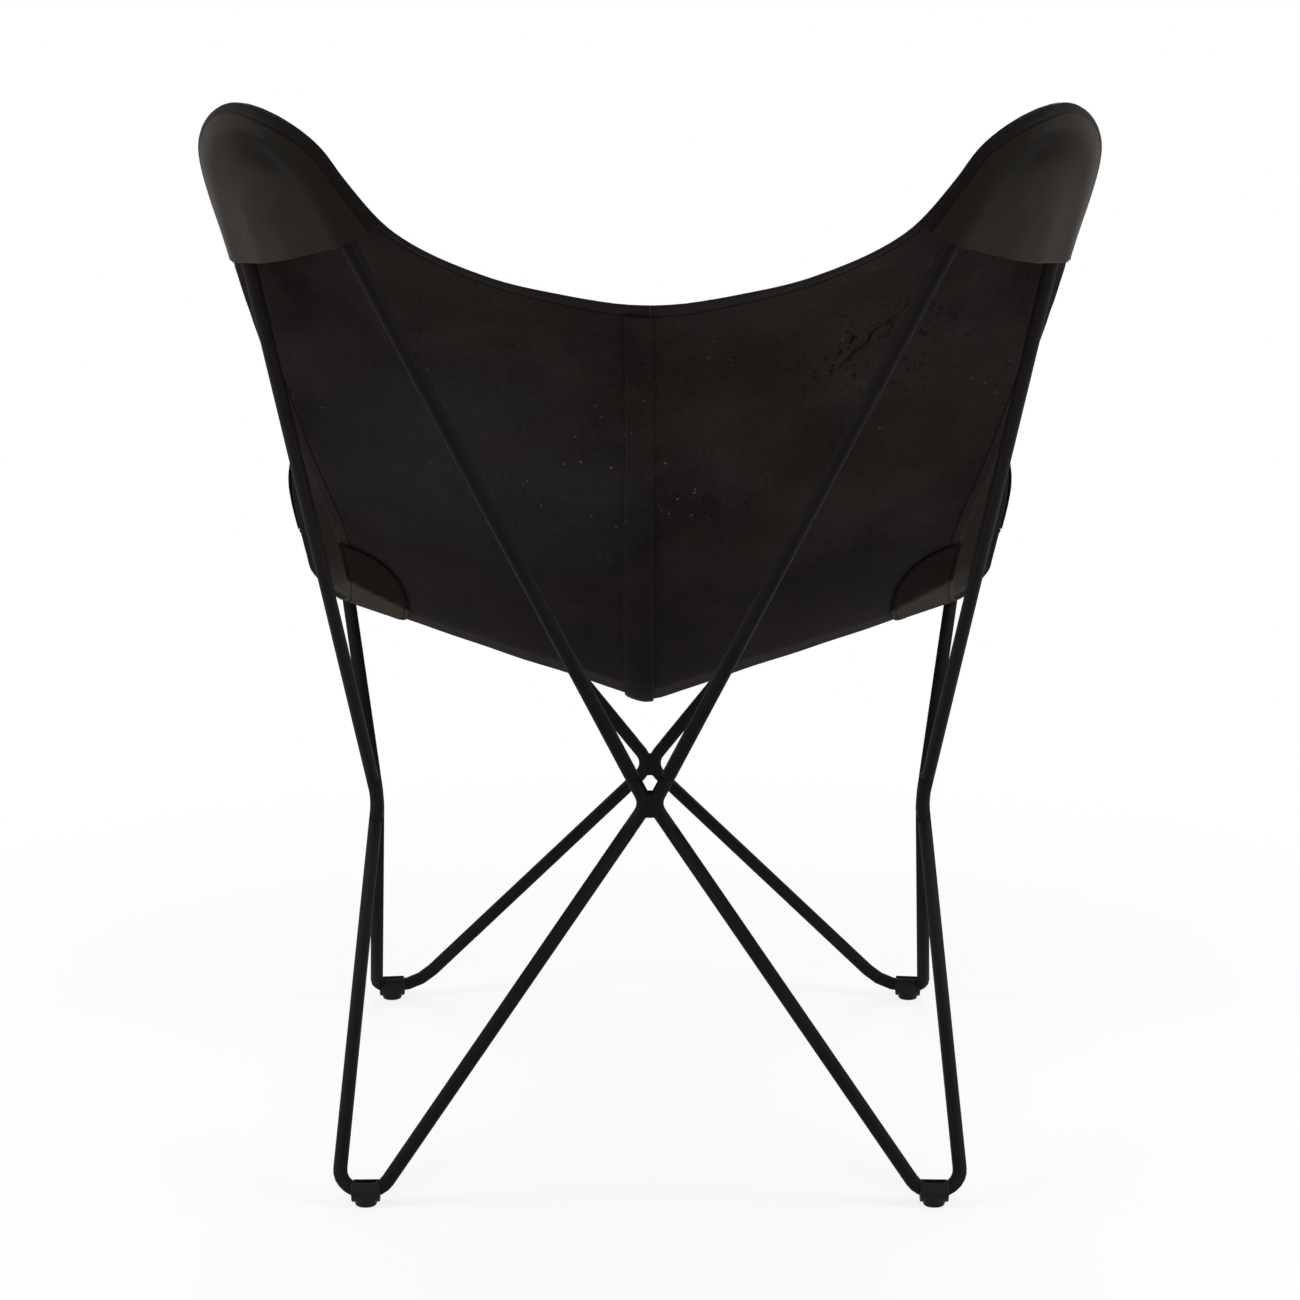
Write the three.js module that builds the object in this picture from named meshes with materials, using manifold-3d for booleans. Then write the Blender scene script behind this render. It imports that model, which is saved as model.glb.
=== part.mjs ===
// Butterfly sling chair: a welded frame of steel rod that carries a leather sling on four hoops.
// Millimetres. +Z is up, -Y is the chair's front and +X is the sitter's left.
// Y is counted from the rear feet while the chair is built, and the finished group is centred.
import * as THREE from 'three';
import { mergeVertices } from 'three/addons/utils/BufferGeometryUtils.js';
import Module from 'manifold-3d';

// Frame sizes
const ROD_DIAMETER = 12;
const BACK_WELD_Y = -5;
const BACK_WELD_HEIGHT = 346;
const FRONT_WELD_Y = -545;
const FRONT_WELD_HEIGHT = 227;
const SIDE_WELD_X = 244;
const SIDE_WELD_Y = -300;
const SIDE_WELD_HEIGHT = 264;
const WELD_BEND_RADIUS = 16;
const WELD_REACH = 26;
const WELD_BEAD_DIAMETER = 10;
const WELD_BEAD_LENGTH = 20;
const EAR_HOOP_X = 289;
const EAR_HOOP_Y = 32;
const EAR_HOOP_HEIGHT = 851;
const EAR_HOOP_RADIUS = 54;
const KNEE_HOOP_X = 281;
const KNEE_HOOP_Y = -590;
const KNEE_HOOP_HEIGHT = 534;
const KNEE_HOOP_RADIUS = 35;
const REAR_FOOT_X = 260;
const REAR_FOOT_OUTER_BEND = 20;
const REAR_FOOT_INNER_BEND = 20;
const FRONT_FOOT_X = 265;
const FRONT_FOOT_Y = -515;
const FRONT_FOOT_OUTER_BEND = 13;
const FRONT_FOOT_INNER_BEND = 55;
const FOOT_FLAT = 4;

// Glide sizes
const GLIDE_LENGTH = 24;
const GLIDE_WALL = 3.2;
const GLIDE_FOOT_DIAMETER = 18.4;
const GLIDE_FOOT_HEIGHT = 5.7;
const GLIDE_SLOT_WIDTH = 7;

// Sling sizes: its middle line, its sides and how far it reaches past the hoops
const LEATHER_THICKNESS = 3;
const POCKET_LEATHER_THICKNESS = 2;
const SEAM_STRIP_WIDTH = 26;
const SEAM_STRIP_LAP = 3;
const SEAM_STRIP_THICKNESS = 2.5;
const TOP_CENTRE_Y = 0;
const TOP_CENTRE_HEIGHT = 752;
const BACK_LOW_Y = -205;
const BACK_LOW_HEIGHT = 444;
const SEAT_LOW_Y = -290;
const SEAT_LOW_HEIGHT = 359;
const FRONT_CENTRE_Y = -530;
const FRONT_CENTRE_HEIGHT = 408;
const SEAT_SAG = 10;
const TOP_EDGE_SAG = 37;
const EAR_ROOT_SAG = 36;
const FRONT_EDGE_SAG = 44;
const SIDE_UPPER_INSET = 12;
const WAIST_X = 269;
const WAIST_Y = -235;
const WAIST_HEIGHT = 518;
const SIDE_LOW_X = 277;
const SIDE_LOW_Y = -375;
const SIDE_LOW_HEIGHT = 433;
const EAR_INNER_ANGLE = -58;
const EAR_INNER_MARGIN = 19;
const EAR_TIP_ANGLE = 14;
const EAR_TIP_MARGIN = 16;
const EAR_SHOULDER_ANGLE = 70;
const EAR_SHOULDER_MARGIN = 32;
const EAR_MOUTH_DROP = 75;
const EAR_MOUTH_MARGIN = 30;
const KNEE_INNER_ANGLE = -68;
const KNEE_INNER_MARGIN = 31;
const KNEE_TIP_ANGLE = 7;
const KNEE_TIP_MARGIN = 22;
const KNEE_OUTER_ANGLE = 104;
const KNEE_OUTER_MARGIN = 68;
const KNEE_FLANK_DROP = 125;
const KNEE_FLANK_MARGIN = 49;

// Shares of the sling's edges and width that the pockets and corner patches take
const EAR_POCKET_TOP_SHARE = 0.375;
const EAR_POCKET_SIDE_SHARE = 0.25;
const KNEE_POCKET_FRONT_SHARE = 0.3;
const KNEE_POCKET_SIDE_SHARE = 0.2;
const CORNER_PATCH_START = 0.505;
const CORNER_PATCH_END = 0.68;
const CORNER_PATCH_ACROSS = 0.205;
const CORNER_PATCH_SQUARENESS = 2.6;

// Clearances: between touching pieces, behind the hoops in the pockets, at sewn edges and under the strip
const FIT_GAP = 0.3;
const POCKET_EASE = 2.2;
const SEWN_EASE = 0.8;
const SEAM_STRIP_EASE = 0.6;

// Shape factors: where hanging edges sag most, and how far curved edges and lobes reach into the sheet
const SAG_SKEW = 1.2;
const EAR_ROOT_SHARE = 0.77;
const SIDE_UPPER_SHARE = 0.6;
const TOP_REACH = 0.5;
const FRONT_REACH = 0.3;
const LOBE_REACH = 0.3;
const LOBE_PULL = 6;

// Facets
const ROD_SIDES = 12;
const ARC_STEP = THREE.MathUtils.degToRad(15);
const GLIDE_SIDES = 16;
const PANEL_ROWS = 28;
const PANEL_COLUMNS = 13;
const POCKET_ROWS = 8;
const POCKET_COLUMNS = 13;
const POCKET_TIP_CROWDING = 1.6;
const EDGE_SAMPLES = 120;
const SLIVER = 0.02;

const ROD_RADIUS = ROD_DIAMETER / 2;
const AXIS_HEIGHT = GLIDE_FOOT_HEIGHT + FIT_GAP + ROD_RADIUS;
const point = (x, y, z) => new THREE.Vector3(x, y, z);
const wasm = await Module();
wasm.setup();

// Finishes
const finish = (color, roughness, metalness = 0) => (
  new THREE.MeshStandardMaterial({ color, roughness, metalness }));
const FRAME_PAINT = finish(0x1c1c1d, 0.55, 0.1);
const GLIDE_PLASTIC = finish(0x151515, 0.5);
const FLESH_LEATHER = finish(0x1e1a18, 0.85);
const GRAIN_LEATHER = finish(0x2c2723, 0.55);

// Solids and meshes

function toSolid(geometry) {
  const bare = geometry.clone();
  bare.deleteAttribute('normal');
  bare.deleteAttribute('uv');
  const merged = mergeVertices(bare, 1e-4);
  return new wasm.Manifold(new wasm.Mesh({
    numProp: 3,
    vertProperties: new Float32Array(merged.attributes.position.array),
    triVerts: new Uint32Array(merged.index.array),
  }));
}

// A joined or cut solid as a mesh, without facets thinner than a sliver
function toGeometry(solid) {
  const mesh = solid.simplify(SLIVER).getMesh();
  const geometry = new THREE.BufferGeometry();
  geometry.setAttribute('position', new THREE.BufferAttribute(mesh.vertProperties, mesh.numProp));
  geometry.setIndex(new THREE.BufferAttribute(mesh.triVerts, 1));
  const flat = geometry.toNonIndexed();
  flat.computeVertexNormals();
  return flat;
}

// A path through listed points, which takes its steps at those points
class RodPath extends THREE.Curve {
  constructor(points) {
    super();
    this.points = points;
  }

  getPoint(t) {
    const place = t * (this.points.length - 1);
    const index = Math.min(Math.floor(place + 1e-9), this.points.length - 2);
    return this.points[index].clone().lerp(this.points[index + 1], place - index);
  }

  getPointAt(u) {
    return this.getPoint(u);
  }

  getTangentAt(u) {
    const index = Math.round(u * (this.points.length - 1));
    const before = this.points[Math.max(index - 1, 0)];
    const here = this.points[index];
    const after = this.points[Math.min(index + 1, this.points.length - 1)];
    const arriving = here.clone().sub(before).normalize();
    const leaving = after.clone().sub(here).normalize();
    return arriving.add(leaving).normalize();
  }
}

function rodGeometry(points, radius) {
  const section = new THREE.Shape(Array.from({ length: ROD_SIDES }, (_, i) => {
    const angle = (i / ROD_SIDES) * 2 * Math.PI;
    return new THREE.Vector2(radius * Math.cos(angle), radius * Math.sin(angle));
  }));
  return new THREE.ExtrudeGeometry(section, { steps: points.length - 1, extrudePath: new RodPath(points) });
}

// Length from a corner to where its bend of the given radius starts
function bendReach(before, corner, after, radius) {
  const inward = before.clone().sub(corner).angleTo(after.clone().sub(corner));
  return radius / Math.tan(inward / 2);
}

// Points of a bend of the given radius that rounds a corner
function bendPoints(before, corner, after, radius) {
  const towardBefore = before.clone().sub(corner).normalize();
  const towardAfter = after.clone().sub(corner).normalize();
  const reach = bendReach(before, corner, after, radius);
  const start = corner.clone().addScaledVector(towardBefore, reach);
  const axis = towardBefore.clone().cross(towardAfter).normalize();
  const sweep = Math.PI - towardBefore.angleTo(towardAfter);
  const middle = towardBefore.clone().add(towardAfter).normalize();
  const centre = corner.clone().addScaledVector(middle, Math.hypot(reach, radius));
  const steps = Math.max(2, Math.ceil(sweep / ARC_STEP));
  return Array.from({ length: steps + 1 }, (_, i) => {
    const spoke = start.clone().sub(centre).applyAxisAngle(axis, -(sweep * i) / steps);
    return centre.clone().add(spoke);
  });
}

// Frame: places where the rods meet

const mirrored = (p) => point(-p.x, p.y, p.z);
const backWeld = point(0, BACK_WELD_Y, BACK_WELD_HEIGHT);
const frontWeld = point(0, FRONT_WELD_Y, FRONT_WELD_HEIGHT);
const sideWeld = point(SIDE_WELD_X, SIDE_WELD_Y, SIDE_WELD_HEIGHT);
const earCentre = point(EAR_HOOP_X, EAR_HOOP_Y, EAR_HOOP_HEIGHT);
const kneeCentre = point(KNEE_HOOP_X, KNEE_HOOP_Y, KNEE_HOOP_HEIGHT);
const rearFoot = point(REAR_FOOT_X, 0, AXIS_HEIGHT);
const frontFoot = point(FRONT_FOOT_X, FRONT_FOOT_Y, AXIS_HEIGHT);

// Corner of a rod's tight bend beside a weld, so that the rods on both sides just touch there
function weldCorner(weld, side, upper, lower) {
  const bend = Math.PI - upper.clone().sub(weld).angleTo(lower.clone().sub(weld));
  const cut = WELD_BEND_RADIUS * (1 / Math.cos(bend / 2) - 1);
  return weld.clone().addScaledVector(side, ROD_RADIUS - cut);
}

const LEFT = point(1, 0, 0);
const BACK = point(0, 1, 0);
const backCorner = weldCorner(backWeld, LEFT, earCentre, rearFoot);
const frontCorner = weldCorner(frontWeld, LEFT, kneeCentre, frontFoot);
const sideBackCorner = weldCorner(sideWeld, BACK, earCentre, rearFoot);
const sideFrontCorner = weldCorner(sideWeld, BACK.clone().negate(), kneeCentre, frontFoot);

// Upper hoop: tangents from two weld corners to a circle, in the plane of the corners and the centre
function hoopOf(centre, radius, outerCorner, innerCorner) {
  const normal = innerCorner.clone().sub(centre).cross(outerCorner.clone().sub(centre)).normalize();
  const tangentPoint = (corner, turn) => {
    const spoke = corner.clone().sub(centre);
    const swing = Math.acos(radius / spoke.length());
    return centre.clone().add(spoke.setLength(radius).applyAxisAngle(normal, turn * swing));
  };
  const outerTangent = tangentPoint(outerCorner, 1);
  const innerTangent = tangentPoint(innerCorner, -1);
  const up = outerTangent.clone().add(innerTangent).sub(outerCorner).sub(innerCorner);
  const lateral = outerTangent.clone().sub(innerTangent);
  up.addScaledVector(lateral, -up.dot(lateral) / lateral.lengthSq()).normalize();
  lateral.normalize();
  const half = outerTangent.clone().sub(centre).angleTo(up);
  const steps = Math.ceil((2 * half) / ARC_STEP);
  const arc = Array.from({ length: steps + 1 }, (_, i) => {
    const angle = half - (2 * half * i) / steps;
    return centre.clone()
      .addScaledVector(up, radius * Math.cos(angle))
      .addScaledVector(lateral, radius * Math.sin(angle));
  });
  const front = lateral.clone().cross(up);
  if (front.z < 0) {
    front.negate();
  }
  return { centre, radius, up, lateral, front, half, arc, outerCorner, innerCorner };
}

const earHoop = hoopOf(earCentre, EAR_HOOP_RADIUS, sideBackCorner, backCorner);
const kneeHoop = hoopOf(kneeCentre, KNEE_HOOP_RADIUS, sideFrontCorner, frontCorner);

// Lower hairpin: from the side weld to the foot's outer bend, a short flat run, the inner bend and up
function hairpinOf(foot, outerBend, innerBend, outerCorner, innerCorner) {
  const level = innerCorner.clone().sub(foot).setZ(0).normalize();
  let inner = foot.clone().addScaledVector(level, outerBend + innerBend);
  for (let pass = 0; pass < 8; pass += 1) {
    const outerReach = bendReach(outerCorner, foot, inner, outerBend);
    const innerReach = bendReach(foot, inner, innerCorner, innerBend);
    inner = foot.clone().addScaledVector(level, outerReach + FOOT_FLAT + innerReach);
  }
  const outerReach = bendReach(outerCorner, foot, inner, outerBend);
  const bends = [
    ...bendPoints(outerCorner, foot, inner, outerBend),
    ...bendPoints(foot, inner, innerCorner, innerBend),
  ];
  const seat = foot.clone().addScaledVector(level, outerReach + FOOT_FLAT / 2);
  return { bends, seat, level, outerCorner, innerCorner };
}

const rearHairpin = hairpinOf(
  rearFoot, REAR_FOOT_OUTER_BEND, REAR_FOOT_INNER_BEND, sideBackCorner, backCorner);
const frontHairpin = hairpinOf(
  frontFoot, FRONT_FOOT_OUTER_BEND, FRONT_FOOT_INNER_BEND, sideFrontCorner, frontCorner);

// A rod runs between two weld corners, and starts where the welded ends stop
function rodPoints(bent, outerCorner, innerCorner) {
  const start = WELD_REACH + FIT_GAP;
  const endAt = (corner, next) => corner.clone().add(next.clone().sub(corner).setLength(start));
  return [endAt(outerCorner, bent[0]), ...bent, endAt(innerCorner, bent[bent.length - 1])];
}

const earRod = rodPoints(earHoop.arc, earHoop.outerCorner, earHoop.innerCorner);
const kneeRod = rodPoints(kneeHoop.arc, kneeHoop.outerCorner, kneeHoop.innerCorner);
const rearRod = rodPoints(rearHairpin.bends, rearHairpin.outerCorner, rearHairpin.innerCorner);
const frontRod = rodPoints(frontHairpin.bends, frontHairpin.outerCorner, frontHairpin.innerCorner);

// Weld: two tight bends that touch back to back, with a bead of weld between them
function weldGeometry(weld, bends) {
  const ends = bends.map(({ corner, upper, lower }) => ({
    corner,
    top: corner.clone().add(upper.clone().sub(corner).setLength(WELD_REACH)),
    bottom: corner.clone().add(lower.clone().sub(corner).setLength(WELD_REACH)),
  }));
  const bent = ends.map(({ corner, top, bottom }) => toSolid(
    rodGeometry([top, ...bendPoints(top, corner, bottom, WELD_BEND_RADIUS), bottom], ROD_RADIUS)));
  const axis = ends[0].top.clone().add(ends[1].top).sub(ends[0].bottom).sub(ends[1].bottom).normalize();
  const beadRadius = WELD_BEAD_DIAMETER / 2;
  const bead = new THREE.CylinderGeometry(beadRadius, beadRadius, WELD_BEAD_LENGTH, ROD_SIDES);
  bead.applyQuaternion(new THREE.Quaternion().setFromUnitVectors(BACK, axis));
  bead.translate(weld.x, weld.y, weld.z);
  return toGeometry(bent[0].add(bent[1]).add(toSolid(bead)));
}

const backBend = { corner: backCorner, upper: earRod.at(-2), lower: rearRod.at(-2) };
const frontBend = { corner: frontCorner, upper: kneeRod.at(-2), lower: frontRod.at(-2) };
const sideBackBend = { corner: sideBackCorner, upper: earRod[1], lower: rearRod[1] };
const sideFrontBend = { corner: sideFrontCorner, upper: kneeRod[1], lower: frontRod[1] };
const mirroredBend = ({ corner, upper, lower }) => (
  { corner: mirrored(corner), upper: mirrored(upper), lower: mirrored(lower) });

// Glide: a split collar on the foot's flat run, with a round flat foot below it
function glideGeometry(hairpin, rod) {
  const { seat, level } = hairpin;
  const turn = new THREE.Quaternion().setFromUnitVectors(point(1, 0, 0), level);
  const place = (geometry, height) => {
    geometry.applyQuaternion(turn);
    geometry.translate(seat.x, seat.y, height);
    return toSolid(geometry);
  };
  const collarRadius = ROD_RADIUS + FIT_GAP + GLIDE_WALL;
  const collar = new THREE.CylinderGeometry(collarRadius, collarRadius, GLIDE_LENGTH, GLIDE_SIDES);
  collar.rotateZ(Math.PI / 2);
  const footRadius = GLIDE_FOOT_DIAMETER / 2;
  const foot = new THREE.CylinderGeometry(footRadius, footRadius, AXIS_HEIGHT, GLIDE_SIDES);
  foot.rotateX(Math.PI / 2);
  const slot = new THREE.BoxGeometry(2 * GLIDE_LENGTH, GLIDE_SLOT_WIDTH, 2 * collarRadius);
  return toGeometry(place(collar, AXIS_HEIGHT)
    .add(place(foot, AXIS_HEIGHT / 2))
    .subtract(toSolid(rodGeometry(rod, ROD_RADIUS + FIT_GAP)))
    .subtract(place(slot, AXIS_HEIGHT + collarRadius)));
}

// Sling: each half is ruled from the centre seam to its outer edge, and lies on the front of the hoops

const REST_OFFSET = ROD_RADIUS + FIT_GAP + LEATHER_THICKNESS / 2;
const onHoop = (hoop, lateral, up, front = REST_OFFSET) => hoop.centre.clone()
  .addScaledVector(hoop.lateral, lateral)
  .addScaledVector(hoop.up, up)
  .addScaledVector(hoop.front, front);
// Distance of a hoop's straight rod from the hoop's middle line, at a height below its centre
const rodLateral = (hoop, up) => hoop.radius / Math.sin(hoop.half) - up / Math.tan(hoop.half);

// A place on the sling's lobe, by its angle from the hoop's tip and its margin outside the rod line
const onLobe = (hoop, degrees, margin) => {
  const angle = THREE.MathUtils.degToRad(degrees);
  return onHoop(hoop, (hoop.radius + margin) * Math.sin(angle), (hoop.radius + margin) * Math.cos(angle));
};
// A place on the sling's side, beside a hoop's outer rod at a drop below the hoop's centre
const besideRod = (hoop, drop, margin) => onHoop(hoop, rodLateral(hoop, -drop) + margin, -drop);

const topCentre = point(0, TOP_CENTRE_Y, TOP_CENTRE_HEIGHT);
const backLow = point(0, BACK_LOW_Y, BACK_LOW_HEIGHT);
const seatLow = point(0, SEAT_LOW_Y, SEAT_LOW_HEIGHT);
const frontCentre = point(0, FRONT_CENTRE_Y, FRONT_CENTRE_HEIGHT);
const waist = point(WAIST_X, WAIST_Y, WAIST_HEIGHT);
const sideLow = point(SIDE_LOW_X, SIDE_LOW_Y, SIDE_LOW_HEIGHT);
const earInner = onLobe(earHoop, EAR_INNER_ANGLE, EAR_INNER_MARGIN);
const earTip = onLobe(earHoop, EAR_TIP_ANGLE, EAR_TIP_MARGIN);
const earShoulder = onLobe(earHoop, EAR_SHOULDER_ANGLE, EAR_SHOULDER_MARGIN);
const earMouth = besideRod(earHoop, EAR_MOUTH_DROP, EAR_MOUTH_MARGIN);
const kneeInner = onLobe(kneeHoop, KNEE_INNER_ANGLE, KNEE_INNER_MARGIN);
const kneeTip = onLobe(kneeHoop, KNEE_TIP_ANGLE, KNEE_TIP_MARGIN);
const kneeOuter = onLobe(kneeHoop, KNEE_OUTER_ANGLE, KNEE_OUTER_MARGIN);
const kneeFlank = besideRod(kneeHoop, KNEE_FLANK_DROP, KNEE_FLANK_MARGIN);

const between = (a, b, share, drop = 0) => a.clone().lerp(b, share).sub(point(0, 0, drop));
// A hanging edge is lowest past its middle, nearer the hoop
const hanging = (a, b, share, sag) => between(a, b, share, sag * Math.sin(Math.PI * share ** SAG_SKEW));
const spline = (points) => new THREE.CatmullRomCurve3(points, false, 'centripetal');
const centreLine = spline([
  ...[0, 0.25, 0.5, 0.75].map((share) => between(topCentre, backLow, share)),
  backLow,
  seatLow,
  ...[0.33, 0.67, 1].map((share) => hanging(seatLow, frontCentre, share, SEAT_SAG)),
]);

// The free edge of a half: along the top, round the ear, down the side, round the knee and along the front
const topStations = [
  ...[0, 0.25, 0.5].map((share) => hanging(topCentre, earInner, share, TOP_EDGE_SAG)),
  between(topCentre, earInner, EAR_ROOT_SHARE, EAR_ROOT_SAG),
];
const sideStations = [
  earTip,
  earShoulder,
  earMouth,
  between(earMouth, waist, SIDE_UPPER_SHARE, SIDE_UPPER_INSET),
  waist,
  sideLow,
  kneeFlank,
  kneeOuter,
  kneeTip,
];
const frontStations = [0.82, 0.57, 0.3, 0].map(
  (share) => hanging(frontCentre, kneeInner, share, FRONT_EDGE_SAG));
const edge = spline([...topStations, earInner, ...sideStations, kneeInner, ...frontStations]);
const edgeSpans = edge.points.length - 1;
const topSpans = topStations.length + 1;
const sideSpans = sideStations.length - 1;
const topLine = (u) => edge.getPoint((u * topSpans) / edgeSpans);
const sideLine = (v) => edge.getPoint((topSpans + v * sideSpans) / edgeSpans);
const frontLine = (u) => edge.getPoint(1 - (u * (edgeSpans - topSpans - sideSpans)) / edgeSpans);

function slingPoint(u, v) {
  const ruled = centreLine.getPoint(v).lerp(sideLine(v), u);
  const topSag = topLine(u).sub(topCentre.clone().lerp(earTip, u));
  const frontSag = frontLine(u).sub(frontCentre.clone().lerp(kneeTip, u));
  ruled.addScaledVector(topSag, Math.max(0, 1 - v / TOP_REACH) ** 2);
  ruled.addScaledVector(frontSag, Math.max(0, 1 - (1 - v) / FRONT_REACH) ** 2);
  // The sheet is pulled against each hoop, and never passes behind the hoop's front
  for (const [hoop, along] of [[earHoop, v], [kneeHoop, 1 - v]]) {
    const offset = ruled.clone().sub(hoop.centre).dot(hoop.front);
    const pull = LOBE_PULL * u * Math.max(0, 1 - along / LOBE_REACH);
    ruled.addScaledVector(hoop.front, Math.max(REST_OFFSET, offset - pull) - offset);
  }
  return ruled;
}

// The sheet's direction towards the sitter
function slingNormal(u, v) {
  const step = 0.01;
  const inside = (value) => THREE.MathUtils.clamp(value, 2 * step, 1 - 2 * step);
  const along = slingPoint(inside(u), inside(v) + step).sub(slingPoint(inside(u), inside(v) - step));
  const across = slingPoint(inside(u) + step, inside(v)).sub(slingPoint(inside(u) - step, inside(v)));
  return across.cross(along).normalize().negate();
}

// A closed sheet between two grids of points with the same rows and columns
function sheetGeometry(front, back) {
  const rows = front.length;
  const columns = front[0].length;
  const last = columns - 1;
  const positions = [...front.flat(), ...back.flat()].flatMap((p) => [p.x, p.y, p.z]);
  const faces = [];
  const quad = (a, b, c, d) => faces.push([a, b, c], [a, c, d]);
  const frontAt = (i, j) => i * columns + j;
  const backAt = (i, j) => (rows + i) * columns + j;
  for (let i = 0; i < rows - 1; i += 1) {
    for (let j = 0; j < columns - 1; j += 1) {
      quad(frontAt(i, j), frontAt(i, j + 1), frontAt(i + 1, j + 1), frontAt(i + 1, j));
      quad(backAt(i, j), backAt(i + 1, j), backAt(i + 1, j + 1), backAt(i, j + 1));
    }
    quad(frontAt(i, 0), frontAt(i + 1, 0), backAt(i + 1, 0), backAt(i, 0));
    quad(frontAt(i + 1, last), frontAt(i, last), backAt(i, last), backAt(i + 1, last));
  }
  for (let j = 0; j < columns - 1; j += 1) {
    quad(frontAt(0, j + 1), frontAt(0, j), backAt(0, j), backAt(0, j + 1));
    quad(frontAt(rows - 1, j), frontAt(rows - 1, j + 1), backAt(rows - 1, j + 1), backAt(rows - 1, j));
  }
  const geometry = new THREE.BufferGeometry();
  geometry.setAttribute('position', new THREE.Float32BufferAttribute(positions, 3));
  geometry.setIndex(faces.flat());
  return facingOut(mergeVertices(geometry, 1e-3));
}

// Drops faces without area, and turns the rest so that they face out of the body
function facingOut(geometry) {
  const places = geometry.attributes.position;
  const index = Array.from(geometry.index.array);
  const faces = [];
  let volume = 0;
  for (let i = 0; i < index.length; i += 3) {
    const face = index.slice(i, i + 3);
    if (new Set(face).size === 3) {
      const [a, b, c] = face.map((n) => new THREE.Vector3().fromBufferAttribute(places, n));
      volume += a.dot(b.cross(c));
      faces.push(face);
    }
  }
  geometry.setIndex(faces.flatMap(([a, b, c]) => (volume > 0 ? [a, b, c] : [a, c, b])));
  const flat = geometry.toNonIndexed();
  flat.computeVertexNormals();
  return flat;
}

const grid = (rows, columns, at) => Array.from({ length: rows + 1 }, (_, i) => (
  Array.from({ length: columns + 1 }, (__, j) => at(i / rows, j / columns))));

// Share of a half panel's width that lies within a distance of the centre seam
const seamShare = (distance, v) => distance / slingPoint(0, v).distanceTo(slingPoint(1, v));

// Half panel: its edge on the centre seam is cut square to the chair's middle plane
function panelGeometry() {
  const face = (side) => grid(PANEL_ROWS, PANEL_COLUMNS, (v, across) => {
    const first = 1 / PANEL_COLUMNS;
    const strip = seamShare(SEAM_STRIP_WIDTH - SEAM_STRIP_LAP, v);
    const u = across < first ? 0 : THREE.MathUtils.mapLinear(across, first, 1, strip, 1);
    const normal = slingNormal(u, v);
    const place = slingPoint(u, v);
    if (u === 0) {
      normal.setX(0).normalize();
      place.setX(FIT_GAP / 2);
    }
    return place.addScaledVector(normal, (side * LEATHER_THICKNESS) / 2);
  });
  return sheetGeometry(face(1), face(-1));
}

// Seam strip: a band behind the joint of the two halves, most of it on the left half
function seamStripGeometry() {
  const reaches = [-SEAM_STRIP_LAP, 0, SEAM_STRIP_WIDTH - SEAM_STRIP_LAP];
  const face = (depth) => grid(PANEL_ROWS, reaches.length - 1, (v, across) => {
    const reach = reaches[across * (reaches.length - 1)];
    const u = seamShare(Math.abs(reach), v);
    const normal = slingNormal(u, v);
    const place = slingPoint(u, v);
    if (reach === 0) {
      const square = normal.clone().setX(0).normalize();
      normal.copy(square.divideScalar(square.dot(normal)));
    }
    place.addScaledVector(normal, -depth);
    return reach < 0 ? mirrored(place) : place;
  });
  const near = LEATHER_THICKNESS / 2 + SEAM_STRIP_EASE;
  return sheetGeometry(face(near), face(near + SEAM_STRIP_THICKNESS));
}

// Points of the sheet's own free edge, for distances to it
const edgeShares = Array.from({ length: EDGE_SAMPLES + 1 }, (_, i) => i / EDGE_SAMPLES);
const edgePoints = [
  ...edgeShares.map((share) => slingPoint(share, 0)),
  ...edgeShares.map((share) => slingPoint(1, share)),
  ...edgeShares.map((share) => slingPoint(share, 1)),
];
const edgeDistance = (p) => Math.min(...edgePoints.map((e) => e.distanceTo(p)));

// Distance outside a hoop's rod line, measured in the hoop's plane, negative inside the hoop
function outsideHoop(hoop, p) {
  const arm = p.clone().sub(hoop.centre);
  const x = Math.abs(arm.dot(hoop.lateral));
  const y = arm.dot(hoop.up);
  const onArc = Math.atan2(x, y) < hoop.half;
  return (onArc ? Math.hypot(x, y) : x * Math.sin(hoop.half) + y * Math.cos(hoop.half)) - hoop.radius;
}

// A place in a hoop's plane: lateral and up
const inPlane = (hoop, p) => {
  const arm = p.clone().sub(hoop.centre);
  return new THREE.Vector2(arm.dot(hoop.lateral), arm.dot(hoop.up));
};

// Sheet shares of a pocket's grid: rays fan out from the lobe's tip and end on the straight mouth
function pocketPlace(hoop, tip, edgeEnd, sideEnd) {
  const start = inPlane(hoop, slingPoint(...edgeEnd));
  const end = inPlane(hoop, slingPoint(...sideEnd));
  const along = end.clone().sub(start);
  const pastMouth = (place) => along.cross(inPlane(hoop, slingPoint(...place)).sub(start));
  const inside = Math.sign(pastMouth(tip));
  return (reach, turn) => {
    const aim = [0, 1].map((k) => THREE.MathUtils.lerp(edgeEnd[k], sideEnd[k], turn) - tip[k]);
    const at = (length) => tip.map((value, k) => THREE.MathUtils.clamp(value + length * aim[k], 0, 1));
    let near = 0;
    let far = 2;
    for (let pass = 0; pass < 30; pass += 1) {
      const middle = (near + far) / 2;
      if (pastMouth(at(middle)) * inside > 0) {
        near = middle;
      } else {
        far = middle;
      }
    }
    return at(reach * near);
  };
}

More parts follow.
